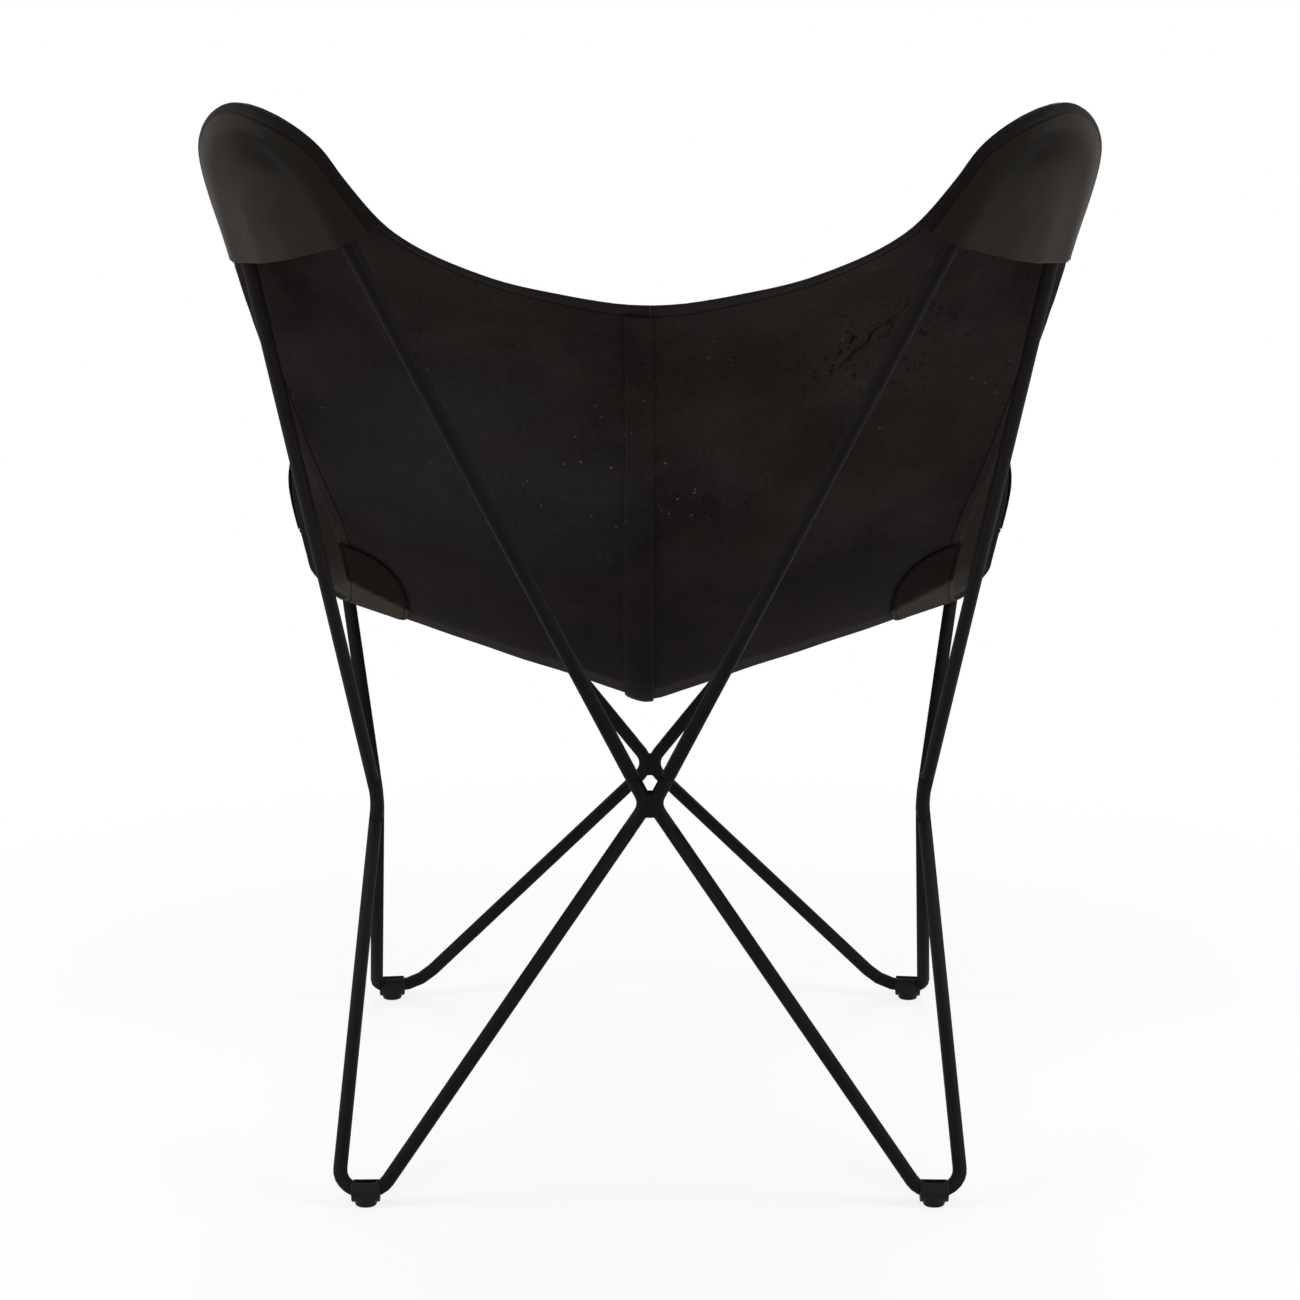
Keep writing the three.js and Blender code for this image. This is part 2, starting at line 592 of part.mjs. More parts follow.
// Pocket: sewn along the sling's edge round a tip, it passes behind the hoop and is open at its mouth
function pocketGeometry(hoop, place) {
  const face = (depth) => grid(POCKET_ROWS, POCKET_COLUMNS, (row, column) => {
    // Rows crowd towards the tip, and columns towards the sewn edges
    const reach = row ** POCKET_TIP_CROWDING;
    const turn = (1 - Math.cos(Math.PI * column)) / 2;
    const sheet = slingPoint(...place(reach, turn));
    const sheetOffset = sheet.clone().sub(hoop.centre).dot(hoop.front);
    const sewn = sheetOffset - LEATHER_THICKNESS / 2 - SEWN_EASE;
    const behindRod = -ROD_RADIUS - POCKET_EASE;
    const outside = outsideHoop(hoop, sheet);
    const toEdge = edgeDistance(sheet);
    const bulge = outside <= 0 ? 1 : 1 - (outside / (outside + toEdge)) ** 2;
    const target = THREE.MathUtils.lerp(sewn, behindRod, bulge) - depth;
    return sheet.addScaledVector(hoop.front, target - sheetOffset);
  });
  return sheetGeometry(face(0), face(POCKET_LEATHER_THICKNESS));
}

const earPocketPlace = pocketPlace(
  earHoop, [1, 0], [1 - EAR_POCKET_TOP_SHARE, 0], [1, EAR_POCKET_SIDE_SHARE]);
const kneePocketPlace = pocketPlace(
  kneeHoop, [1, 1], [1 - KNEE_POCKET_FRONT_SHARE, 1], [1, 1 - KNEE_POCKET_SIDE_SHARE]);

// Corner patch: a rounded piece sewn flat under the lower corner of the back
function cornerPatchGeometry() {
  const face = (depth) => grid(POCKET_ROWS, POCKET_COLUMNS, (across, along) => {
    const v = THREE.MathUtils.lerp(CORNER_PATCH_START, CORNER_PATCH_END, along);
    const round = (1 - Math.abs(2 * along - 1) ** CORNER_PATCH_SQUARENESS) ** (1 / CORNER_PATCH_SQUARENESS);
    const u = 1 - across * CORNER_PATCH_ACROSS * round;
    return slingPoint(u, v).addScaledVector(slingNormal(u, v), -depth);
  });
  const near = LEATHER_THICKNESS / 2 + FIT_GAP;
  return sheetGeometry(face(near), face(near + POCKET_LEATHER_THICKNESS));
}

// Assembly

const chair = new THREE.Group();

function add(name, geometry, material) {
  const mesh = new THREE.Mesh(geometry, material);
  mesh.name = name;
  chair.add(mesh);
  return mesh;
}

function addPair(name, geometry, material) {
  add(`${name}_left`, geometry, material);
  add(`${name}_right`, geometry, material).scale.x = -1;
}

addPair('ear_hoop', rodGeometry(earRod, ROD_RADIUS), FRAME_PAINT);
addPair('knee_hoop', rodGeometry(kneeRod, ROD_RADIUS), FRAME_PAINT);
addPair('rear_leg', rodGeometry(rearRod, ROD_RADIUS), FRAME_PAINT);
addPair('front_leg', rodGeometry(frontRod, ROD_RADIUS), FRAME_PAINT);
add('back_weld', weldGeometry(backWeld, [backBend, mirroredBend(backBend)]), FRAME_PAINT);
add('front_weld', weldGeometry(frontWeld, [frontBend, mirroredBend(frontBend)]), FRAME_PAINT);
addPair('side_weld', weldGeometry(sideWeld, [sideBackBend, sideFrontBend]), FRAME_PAINT);
addPair('rear_glide', glideGeometry(rearHairpin, rearRod), GLIDE_PLASTIC);
addPair('front_glide', glideGeometry(frontHairpin, frontRod), GLIDE_PLASTIC);
addPair('sling_panel', panelGeometry(), FLESH_LEATHER);
add('centre_seam_strip', seamStripGeometry(), FLESH_LEATHER);
addPair('ear_pocket', pocketGeometry(earHoop, earPocketPlace), GRAIN_LEATHER);
addPair('knee_pocket', pocketGeometry(kneeHoop, kneePocketPlace), GRAIN_LEATHER);
addPair('corner_patch', cornerPatchGeometry(), GRAIN_LEATHER);

const box = new THREE.Box3().setFromObject(chair);
for (const mesh of chair.children) {
  mesh.position.y -= (box.min.y + box.max.y) / 2;
}

export default chair;
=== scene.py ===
"""Looks of a butterfly sling chair: painted rod frame, plastic glides and a sewn leather sling."""

import math
from types import SimpleNamespace

import bmesh
import bpy
import numpy as np
from bpy.props import FloatProperty, FloatVectorProperty, PointerProperty
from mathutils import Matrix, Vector
from mathutils.kdtree import KDTree


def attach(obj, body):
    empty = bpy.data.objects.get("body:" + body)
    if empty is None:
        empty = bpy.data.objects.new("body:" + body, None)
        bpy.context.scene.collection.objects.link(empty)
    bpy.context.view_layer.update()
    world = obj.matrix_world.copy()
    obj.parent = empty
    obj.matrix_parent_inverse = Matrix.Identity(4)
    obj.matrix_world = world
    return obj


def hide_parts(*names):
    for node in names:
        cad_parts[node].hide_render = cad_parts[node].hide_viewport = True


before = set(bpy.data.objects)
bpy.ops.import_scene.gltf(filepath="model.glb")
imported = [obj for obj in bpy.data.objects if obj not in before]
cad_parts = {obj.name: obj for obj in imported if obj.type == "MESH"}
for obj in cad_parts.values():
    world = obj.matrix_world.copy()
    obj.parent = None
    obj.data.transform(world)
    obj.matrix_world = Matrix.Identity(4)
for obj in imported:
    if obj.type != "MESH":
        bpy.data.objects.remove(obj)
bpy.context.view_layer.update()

bl_info = {
    "name": "Butterfly sling chair",
    "version": (1, 0, 0),
    "blender": (4, 5, 0),
    "location": "3D View > Sidebar > Chair",
    "description": "Builds the leather sling, the painted frame and the stage of a butterfly chair",
    "category": "Object",
}

# Sizes of the frame in millimetres, with Y counted from the rear feet
MM = 0.001
REAR_FEET_Y = 277.994
ROD_RADIUS = 6
BACK_WELD = np.array((0, -5, 346))
FRONT_WELD = np.array((0, -545, 227))
SIDE_WELD = np.array((244, -300, 264))
WELD_BEND_RADIUS = 16
EAR_HOOP_CENTRE = np.array((289, 32, 851))
EAR_HOOP_RADIUS = 54
KNEE_HOOP_CENTRE = np.array((281, -590, 534))
KNEE_HOOP_RADIUS = 35
REAR_FOOT = np.array((260, 0, 12))
FRONT_FOOT = np.array((265, -515, 12))
LEFT = np.array((1, 0, 0))
BACK = np.array((0, 1, 0))

# Sizes of the sling in millimetres
LEATHER_THICKNESS = 3
POCKET_THICKNESS = 2
STRIP_THICKNESS = 2.5
STRIP_LAP = 3
STRIP_REACH = 23
STRIP_EASE = 0.6
STRIP_ROUNDING = 8
ROUNDING = 1.6
TOP_CENTRE = np.array((0, 0, 752))
BACK_LOW = np.array((0, -205, 444))
SEAT_LOW = np.array((0, -290, 359))
FRONT_CENTRE = np.array((0, -530, 408))
WAIST = np.array((269, -235, 518))
SIDE_LOW = np.array((277, -375, 433))
SEAT_SAG = 10
TOP_EDGE_SAG = 37
EAR_ROOT_SAG = 36
FRONT_EDGE_SAG = 44
SIDE_UPPER_INSET = 12
FIT_GAP = 0.3
SEAM_GAP = 0.02
POCKET_EASE = 1.6
SEWN_EASE = 0.1
POCKET_DOME = 11
DOME_REACH = 75
DENT_MARGIN = 4
DENT_FADE = 24
TURN_OUT = 1.8
TURN_REACH = 9
TURN_FADE = 45
WAVE_HEIGHT = 1.1
LOBE_PULL = 6
LOBE_SOFTNESS = 1.2
LAP_STITCH_INSET = 1.5
FAR_STITCH_INSET = 3
SEAM_STITCH_INSET = 4
PATCH_STITCH_INSET = 4
REST_OFFSET = ROD_RADIUS + FIT_GAP + LEATHER_THICKNESS / 2
STRIP_OFFSET = LEATHER_THICKNESS / 2 + STRIP_EASE
PATCH_OFFSET = LEATHER_THICKNESS / 2 + FIT_GAP

# Shares and powers that shape the sling
BACK_SHARES = (0, 0.25, 0.5, 0.75)
SEAT_SHARES = (0.33, 0.67, 1)
TOP_SHARES = (0, 0.25, 0.5)
FRONT_SHARES = (0.82, 0.57, 0.3, 0)
SAG_SKEW = 1.2
EAR_ROOT_SHARE = 0.77
SIDE_UPPER_SHARE = 0.6
TOP_REACH = 0.5
FRONT_REACH = 0.3
LOBE_REACH = 0.3
LEVEL_REACH_TOP = 0.11
LEVEL_REACH_FOLD = 0.045
FOLD_SEAM_SHARE = 0.589
STRIP_START = 0.0135
STRIP_END = 0.985
PATCH_START = 0.505
PATCH_END = 0.68
PATCH_ACROSS = 0.205
PATCH_SQUARENESS = 2.6
# Band of painted light on a corner patch just past the fold, where light from the floor falls
PATCH_LIGHT_STEP = 0.005
PATCH_LIGHT_OUTER = 0.034
PATCH_LIGHT_INNER = 0.010
PATCH_PATH_START = 0.03
PATCH_PATH_ACROSS = 0.94
DOME_POWER = 1.5
EDGE_THINNING = 0.85

# Hollow of a pocket and its shade, in hoop radii and radians
HOLLOW_REACH = 0.8
HOLLOW_WIDTH = 0.42
HOLLOW_TURN = -0.5
HOLLOW_SPREAD = 0.9
INNER_PAINTED_SHADE = 0.42
INNER_START = 0.7
INNER_SPAN = 2.4

# Waves of the leather: radians across, radians along and share of the half's own phase
SLOW_WAVES = ((7, 11, 1), (-4, 15, 1.7))
QUICK_WAVES = ((19, -9, 2.1), (6, 23, 0))
QUICK_SHARE = 0.5
RIGHT_PHASE = 2.4

# Grids of the leather pieces
EDGE_SAMPLES = 4000
EDGE_STEP = 0.0005
EDGE_MARGIN = 0.001
NORMAL_STEP = 0.01
PANEL_ROWS = 140
PANEL_COLUMNS = 56
POCKET_ROWS = 40
POCKET_COLUMNS = 48
STRIP_COLUMNS = 6
STRIP_MARGIN = 4
STRIP_STEPS = (0, 0.6, 1.5, 3)
PATH_POINTS = 500
TIP_CROWDING = 1.6
FAN_END = 0.95
MOUTH_STEPS = (0.96, 0.975, 0.985, 0.993, 1)
END_STEPS = (0, 0.0009, 0.0022, 0.005, 0.010, 0.013)
LONGEST_RAY = 2
HALVINGS = 30
JOIN_DISTANCE = 2e-6
FLAT_DISTANCE = 1e-7
TINY = 1e-9

# Smooth copies of the rods and glides, in radians and metres
END_ANGLE = math.radians(60)
SHARP_ANGLE = math.radians(40)
END_REACH = 0.0005
MOULD_GRID = 0.0006
MOULD_SMOOTHING = 12

# Places, lines and colours on the leather, in metres and radians
HAZE_PLACE = (0.15, 0.15, 0.58)
HAZE_REACH = (0.06, 0.17)
FLECK_PLACE = (0.03, 0.15, 0.60)
FLECK_REACH = (0.04, 0.11)
SCAR_PLACE = (-0.185, 0.20, 0.72)
SCAR_REACH = (0.02, 0.10)
CRACK_REACH = (0.035, 0.06)
SCAR_TURN = -0.78
SCAR_HEIGHT = 0.4
SCAR_WOBBLE = 0.02
SCAR_LINE = 0.0024
STROKE_TURN = (0, 0.8, 0)
STROKE_SCALE = (210, 210, 70)
STREAK_TURN = (0.1, 0.7, 0.2)
STREAK_SCALE = (520, 520, 12)
# Painted shade: the back darker towards the bottom, where less light falls
LOW_SHADE_START = 0.58
LOW_SHADE_END = 0.45
SEAM_LINE = 0.0011
RIM_STEP = 0.001
HEM_LINE = 0.0014
HEM_STEP = 0.0008
# Fold at the bottom of the back: painted shade in its crease, and painted light just past it
FOLD_LINE = 0.0012
FOLD_LIGHT_RISE = (0.0004, 0.0014)
FOLD_LIGHT_FADE = (0.010, 0.020)
HAZE_COLOUR = (0.0150, 0.0150, 0.0200, 1)
RIM_COLOUR = (0.0080, 0.0068, 0.0068, 1)
# Colour of the painted light on the patches' band past the fold
PAINTED_FOLD_LIGHT_COLOUR = (0.045, 0.0385, 0.0325, 1)

# Relief of the surfaces in metres
GRIT_RELIEF = 0.00012
SCUFF_RELIEF = 0.00004
TWIST_RELIEF = 0.0001
PEBBLE_RELIEF = 0.00022
CREASE_RELIEF = 0.0006
SEAM_RELIEF = 0.0006
FIBRE_RELIEF = 0.0009
MOTTLE_RELIEF = 0.0016
SWELL_RELIEF = 0.0012
PIT_RELIEF = 0.0012
MARK_RELIEF = 0.0008
HEM_RELIEF = 0.0012
FOLD_RELIEF = 0.0010

# Stage in metres, and the camera's sensor in millimetres
FLOOR_RADIUS = 3.0
FLOOR_SIDES = 64
FLOOR_DROP = 0.0004
SHADOW_START = 0.45
SHADOW_END = 1.1
SHADOW_SHARE = 0.22
LIGHT_TARGET = (0, 0, 0.5)
SIDE_LIGHT_SIZE = (0.7, 1.1)
WIDE_LIGHT_SIZE = (2.4, 1.6)
FILL_LIGHT_PLACE = (0, 3.4, 1.9)
FRONT_LIGHT_PLACE = (0, -2.6, 2.0)
SIDE_LIGHT_PLACES = {"left": (1.5, 0.5, 1.1), "right": (-1.5, 0.5, 1.1)}
SENSOR_WIDTH = 36


# Settings that a user may change

def colour_setting(name, description, value):
    """A colour property, linear red, green and blue."""
    return FloatVectorProperty(
        name=name, description=description, default=value, subtype="COLOR", size=3, min=0, max=1)


def length_setting(name, description, value):
    """A length property in metres."""
    return FloatProperty(name=name, description=description, default=value, unit="LENGTH", min=0.0001)


def power_setting(name, description, value):
    """A light's power in watts."""
    return FloatProperty(name=name, description=description, default=value, unit="POWER", min=0)


class ChairLooks(bpy.types.PropertyGroup):
    """Colours and sewing sizes of the chair."""

    frame_colour: colour_setting("Frame paint", "Colour of the rods and welds", (0.0106, 0.0092, 0.0090))
    glide_colour: colour_setting("Glide plastic", "Colour of the four feet", (0.0100, 0.0094, 0.0085))
    flesh_colour: colour_setting("Flesh side", "Colour of the rough back", (0.0114, 0.0090, 0.0083))
    pocket_colour: colour_setting("Pockets", "Colour of the pockets' leather", (0.0202, 0.0163, 0.0130))
    patch_colour: colour_setting("Patches", "Colour of the corner patches", (0.0124, 0.0097, 0.0088))
    seat_colour: colour_setting("Grain side", "Colour of the leather's front", (0.0134, 0.0105, 0.0090))
    thread_colour: colour_setting("Thread", "Colour of the stitches", (0.0060, 0.0054, 0.0050))
    hem_width: length_setting("Hem width", "Width of the turned hem", 0.0105)
    hem_stitch_inset: length_setting("Hem stitch inset", "Stitches to the free edge", 0.0098)
    pocket_stitch_inset: length_setting("Pocket stitch inset", "Pocket stitches to the edge", 0.0034)
    stitch_pitch: length_setting("Stitch pitch", "From one stitch to the next", 0.0056)
    stitch_length: length_setting("Stitch length", "Length of one stitch", 0.0042)
    thread_width: length_setting("Thread width", "Thickness of the thread", 0.0009)


class StageLooks(bpy.types.PropertyGroup):
    """Floor, light and camera."""

    floor_colour: colour_setting("Floor", "Colour of the floor", (0.92, 0.92, 0.92))
    side_power: power_setting("Side light", "Power of each side light", 17)
    fill_power: power_setting("Fill light", "Power of the light behind the camera", 8)
    front_power: power_setting("Front light", "Power of the light in front of the chair", 40)
    room_light: FloatProperty(
        name="Room light", description="Strength of the light from all around", default=0.34, min=0)
    camera_height: length_setting("Camera height", "Height of the camera above the floor", 1.188)
    camera_distance: length_setting("Camera distance", "Camera to the chair's middle", 3.132)
    camera_tilt: FloatProperty(
        name="Camera tilt", description="Downward tilt of the camera",
        default=math.radians(14), subtype="ANGLE")
    camera_lens: FloatProperty(
        name="Lens", description="Focal length in millimetres", default=101.46, min=1)


# Geometry of the frame's hoops

def lengths(vectors):
    """Lengths of the vectors."""
    return np.linalg.norm(vectors, axis=-1)


def unit(vectors):
    """The vectors at length one."""
    return vectors / lengths(vectors)[..., None]


def angle_between(a, b):
    """The angle between two vectors."""
    return math.acos(np.clip(unit(a) @ unit(b), -1, 1))


def turned(vector, axis, angle):
    """The vector turned about a unit axis."""
    across = np.cross(axis, vector) * math.sin(angle)
    return vector * math.cos(angle) + across + axis * (axis @ vector) * (1 - math.cos(angle))


def weld_corner(weld, side, upper, lower):
    """Corner of a rod's tight bend beside a weld."""
    bend = math.pi - angle_between(upper - weld, lower - weld)
    cut = WELD_BEND_RADIUS * (1 / math.cos(bend / 2) - 1)
    return weld + side * (ROD_RADIUS - cut)


def hoop_of(centre, radius, outer, inner):
    """Directions of an upper hoop whose straight rods start at two weld corners."""
    normal = unit(np.cross(inner - centre, outer - centre))

    def tangent(corner, turn):
        spoke = corner - centre
        swing = math.acos(radius / lengths(spoke))
        return turned(unit(spoke) * radius, normal, turn * swing)

    to_outer = tangent(outer, 1)
    to_inner = tangent(inner, -1)
    lateral = unit(to_outer - to_inner)
    up = to_outer + to_inner + 2 * centre - outer - inner
    up = unit(up - lateral * (up @ lateral))
    front = np.cross(lateral, up)
    front = front * np.sign(front[2])
    half = angle_between(to_outer, up)
    return SimpleNamespace(centre=centre, radius=radius, up=up, lateral=lateral, front=front, half=half)


EAR_HOOP = hoop_of(
    EAR_HOOP_CENTRE, EAR_HOOP_RADIUS,
    weld_corner(SIDE_WELD, BACK, EAR_HOOP_CENTRE, REAR_FOOT),
    weld_corner(BACK_WELD, LEFT, EAR_HOOP_CENTRE, REAR_FOOT))
KNEE_HOOP = hoop_of(
    KNEE_HOOP_CENTRE, KNEE_HOOP_RADIUS,
    weld_corner(SIDE_WELD, -BACK, KNEE_HOOP_CENTRE, FRONT_FOOT),
    weld_corner(FRONT_WELD, LEFT, KNEE_HOOP_CENTRE, FRONT_FOOT))


def on_hoop(hoop, lateral, up):
    """A place on the front of a hoop."""
    return hoop.centre + hoop.lateral * lateral + hoop.up * up + hoop.front * REST_OFFSET


def on_lobe(hoop, degrees, margin):
    """A place on the sling's lobe, by its angle from the hoop's tip and its margin outside the rod."""
    reach = hoop.radius + margin
    angle = math.radians(degrees)
    return on_hoop(hoop, reach * math.sin(angle), reach * math.cos(angle))


def beside_rod(hoop, drop, margin):
    """A place beside a hoop's outer rod, at a drop below the hoop's centre."""
    rod = hoop.radius / math.sin(hoop.half) + drop / math.tan(hoop.half)
    return on_hoop(hoop, rod + margin, -drop)


# Pockets: the lobe's tip and the mouth's ends in sheet shares, dent in millimetres, strength of the
# painted shade, flat size in metres
EAR_POCKET = SimpleNamespace(
    hoop=EAR_HOOP,
    tip=np.array((1.0, 0.0)),
    edge_end=np.array((0.625, 0.0)),
    side_end=np.array((1.0, 0.25)),
    dent=7,
    shade=0.95,
    flat=(0.19, 0.145),
    area=0.0205,
)
KNEE_POCKET = SimpleNamespace(
    hoop=KNEE_HOOP,
    tip=np.array((1.0, 1.0)),
    edge_end=np.array((0.7, 1.0)),
    side_end=np.array((1.0, 0.8)),
    dent=2,
    shade=0.15,
    flat=(0.20, 0.145),
    area=0.015,
)


# Geometry of the sling

EAR_INNER = on_lobe(EAR_HOOP, degrees=-58, margin=19)
EAR_TIP = on_lobe(EAR_HOOP, degrees=14, margin=16)
EAR_SHOULDER = on_lobe(EAR_HOOP, degrees=70, margin=32)
EAR_MOUTH = beside_rod(EAR_HOOP, drop=75, margin=30)
KNEE_INNER = on_lobe(KNEE_HOOP, degrees=-68, margin=31)
KNEE_TIP = on_lobe(KNEE_HOOP, degrees=7, margin=22)
KNEE_OUTER = on_lobe(KNEE_HOOP, degrees=104, margin=68)
KNEE_FLANK = beside_rod(KNEE_HOOP, drop=125, margin=49)


def lerp(a, b, share):
    """A value between a and b."""
    return a + (b - a) * share


def lowered(place, drop):
    """The place moved down."""
    return place - np.array((0, 0, drop))


def hanging(a, b, share, sag):
    """A place on a hanging edge, which is lowest past its middle."""
    return lowered(lerp(a, b, share), sag * math.sin(math.pi * share ** SAG_SKEW))


def spline(points):
    """A smooth curve through the points, as a function of shares from 0 to 1."""
    inner = np.array(points, float)
    last = len(inner) - 1
    outer = np.vstack([2 * inner[0] - inner[1], inner, 2 * inner[-1] - inner[-2]])
    steps = np.sqrt(lengths(np.diff(outer, axis=0)))

    def at(shares):
        place = np.clip(shares, 0, 1) * last
        span = np.minimum(place.astype(int), last - 1)
        part = (place - span)[:, None]
        x0, x1, x2, x3 = (outer[span + k] for k in range(4))
        d0, d1, d2 = (steps[span + k][:, None] for k in range(3))
        leaving = ((x1 - x0) / d0 - (x2 - x0) / (d0 + d1) + (x2 - x1) / d1) * d1
        arriving = ((x2 - x1) / d1 - (x3 - x1) / (d1 + d2) + (x3 - x2) / d2) * d1
        square = 3 * (x2 - x1) - 2 * leaving - arriving
        cube = 2 * (x1 - x2) + leaving + arriving
        return x1 + part * (leaving + part * (square + part * cube))

    return at


CENTRE_LINE = spline(
    [lerp(TOP_CENTRE, BACK_LOW, share) for share in BACK_SHARES]
    + [BACK_LOW, SEAT_LOW]
    + [hanging(SEAT_LOW, FRONT_CENTRE, share, SEAT_SAG) for share in SEAT_SHARES])
TOP_STATIONS = [
    *(hanging(TOP_CENTRE, EAR_INNER, share, TOP_EDGE_SAG) for share in TOP_SHARES),
    lowered(lerp(TOP_CENTRE, EAR_INNER, EAR_ROOT_SHARE), EAR_ROOT_SAG),
    EAR_INNER,
]
SIDE_STATIONS = [
    EAR_TIP,
    EAR_SHOULDER,
    EAR_MOUTH,
    lowered(lerp(EAR_MOUTH, WAIST, SIDE_UPPER_SHARE), SIDE_UPPER_INSET),
    WAIST,
    SIDE_LOW,
    KNEE_FLANK,
    KNEE_OUTER,
    KNEE_TIP,
]
FRONT_STATIONS = [
    KNEE_INNER,
    *(hanging(FRONT_CENTRE, KNEE_INNER, share, FRONT_EDGE_SAG) for share in FRONT_SHARES),
]
FREE_EDGE = spline(TOP_STATIONS + SIDE_STATIONS + FRONT_STATIONS)
TOP_SPANS = len(TOP_STATIONS)
SIDE_SPANS = len(SIDE_STATIONS) - 1
FRONT_SPANS = len(FRONT_STATIONS)
EDGE_SPANS = TOP_SPANS + SIDE_SPANS + FRONT_SPANS


def top_share(u):
    """Share of the free edge at a place between the centre seam and the ear's tip."""
    return u * TOP_SPANS / EDGE_SPANS


def side_share(v):
    """Share of the free edge at a place between the ear's tip and the knee's tip."""
    return (TOP_SPANS + v * SIDE_SPANS) / EDGE_SPANS


def front_share(u):
    """Share of the free edge at a place between the centre seam in front and the knee's tip."""
    return 1 - u * FRONT_SPANS / EDGE_SPANS


def greater(a, b, softness):
    """The greater of two values, with a soft turn where they are alike."""
    return (a + b + np.sqrt((a - b) ** 2 + softness ** 2)) / 2


def ripple(waves, u, v, phase):
    """Crossing waves of height one."""
    return math.prod(np.sin(across * u + along * v + share * phase) for across, along, share in waves)


def wave_height(u, v, phase):
    """Height of the leather's slow waves, nothing at the seam, at the edges and on the lobes."""
    both = ripple(SLOW_WAVES, u, v, phase) + QUICK_SHARE * ripple(QUICK_WAVES, u, v, phase)
    return WAVE_HEIGHT * both * 4 * u * (1 - u) * np.sin(math.pi * v) ** 2


def hung_sheet(u, v):
    """Places on the middle of a half's sheet without waves, by share of width and of length."""
    across = u[:, None]
    along = v[:, None]
    place = lerp(CENTRE_LINE(v), FREE_EDGE(side_share(v)), across)
    top_sag = FREE_EDGE(top_share(u)) - lerp(TOP_CENTRE, EAR_TIP, across)
    front_sag = FREE_EDGE(front_share(u)) - lerp(FRONT_CENTRE, KNEE_TIP, across)
    place = place + top_sag * np.maximum(0, 1 - along / TOP_REACH) ** 2
    place = place + front_sag * np.maximum(0, 1 - (1 - along) / FRONT_REACH) ** 2
    for hoop, reach in ((EAR_HOOP, v), (KNEE_HOOP, 1 - v)):
        offset = (place - hoop.centre) @ hoop.front
        pulled = offset - LOBE_PULL * u * np.maximum(0, 1 - reach / LOBE_REACH)
        moved = greater(pulled, REST_OFFSET, LOBE_SOFTNESS) - offset
        place = place + moved[:, None] * hoop.front
    return place


def flat_sheet(u, v):
    """Places on the sheet without waves, level across the centre seam."""
    reach = lerp(LEVEL_REACH_TOP, LEVEL_REACH_FOLD, np.clip(v / FOLD_SEAM_SHARE, 0, 1))
    climb = (hung_sheet(reach, v) - hung_sheet(0 * u, v)) * np.array((0, 1, 1))
    return hung_sheet(u, v) + climb * (np.maximum(0, 1 - u / reach) ** 2 / 2)[:, None]


def sheet_normals(u, v):
    """Directions of the sheet towards the sitter."""
    u = np.clip(u, 2 * NORMAL_STEP, 1 - 2 * NORMAL_STEP)
    v = np.clip(v, 2 * NORMAL_STEP, 1 - 2 * NORMAL_STEP)
    along = flat_sheet(u, v + NORMAL_STEP) - flat_sheet(u, v - NORMAL_STEP)
    across = flat_sheet(u + NORMAL_STEP, v) - flat_sheet(u - NORMAL_STEP, v)
    return unit(np.cross(along, across))


def sheet(u, v, phase):
    """Places on the middle of a half's sheet and its directions towards the sitter."""
    normal = sheet_normals(u, v)
    return flat_sheet(u, v) + normal * wave_height(u, v, phase)[:, None], normal


def edge_shares(shares):
    """Sheet shares of places on the free edge."""
    spans = shares * EDGE_SPANS
    on_top = spans < TOP_SPANS
    on_front = spans > TOP_SPANS + SIDE_SPANS
    front = np.where(on_front, (EDGE_SPANS - spans) / FRONT_SPANS, 1)
    u = np.where(on_top, spans / TOP_SPANS, front)
    v = np.clip((spans - TOP_SPANS) / SIDE_SPANS, 0, 1)
    return u, v


def inset_places(shares, inset):
    """Places of the sheet's middle at an inset from the free edge, and directions to the sitter."""
    u, v = edge_shares(shares)
    ahead = flat_sheet(*edge_shares(np.minimum(shares + EDGE_STEP, 1)))
    behind = flat_sheet(*edge_shares(np.maximum(shares - EDGE_STEP, 0)))
    normal = sheet_normals(u, v)
    inward = unit(np.cross(ahead - behind, normal))
    return flat_sheet(u, v) + inward * inset, normal


EDGE_SHARES = np.linspace(0, 1, EDGE_SAMPLES)
EDGE_PLACES = inset_places(EDGE_SHARES, 0)[0]
EDGE_INWARD = inset_places(EDGE_SHARES, 1)[0] - EDGE_PLACES
EDGE_TREE = KDTree(EDGE_SAMPLES)
for number, edge_place in enumerate(EDGE_PLACES):
    EDGE_TREE.insert(edge_place, number)
EDGE_TREE.balance()


def edge_distance(places):
    """Distance of each place to the free edge."""
    return np.array([EDGE_TREE.find(place)[2] for place in places])


def edge_inward(places):
    """Direction into the sheet from the free edge that is nearest to each place."""
    return EDGE_INWARD[[EDGE_TREE.find(place)[1] for place in places]]


def outside_hoop(hoop, places):
    """Distance outside a hoop's rod line, in the hoop's plane, negative inside the hoop."""
    arm = places - hoop.centre
    x = np.abs(arm @ hoop.lateral)
    y = arm @ hoop.up
    on_arc = np.arctan2(x, y) < hoop.half
    beside = x * math.sin(hoop.half) + y * math.cos(hoop.half)
    return np.where(on_arc, np.hypot(x, y), beside) - hoop.radius


def pocket_offset(pocket, places):
    """Move along the hoop's front that takes each place of the sheet to a pocket's inner face."""
    hoop = pocket.hoop
    offset = (places - hoop.centre) @ hoop.front
    sewn = offset - LEATHER_THICKNESS / 2 - SEWN_EASE
    to_edge = edge_distance(places)
    outside = np.maximum(0, outside_hoop(hoop, places))
    bulge = 1 - (outside / (outside + to_edge + TINY)) ** 2
    dome = POCKET_DOME * np.clip(to_edge / DOME_REACH, 0, 1) ** DOME_POWER - pocket_dent(pocket, places)
    return lerp(sewn, -ROD_RADIUS - POCKET_EASE - dome, bulge) - offset


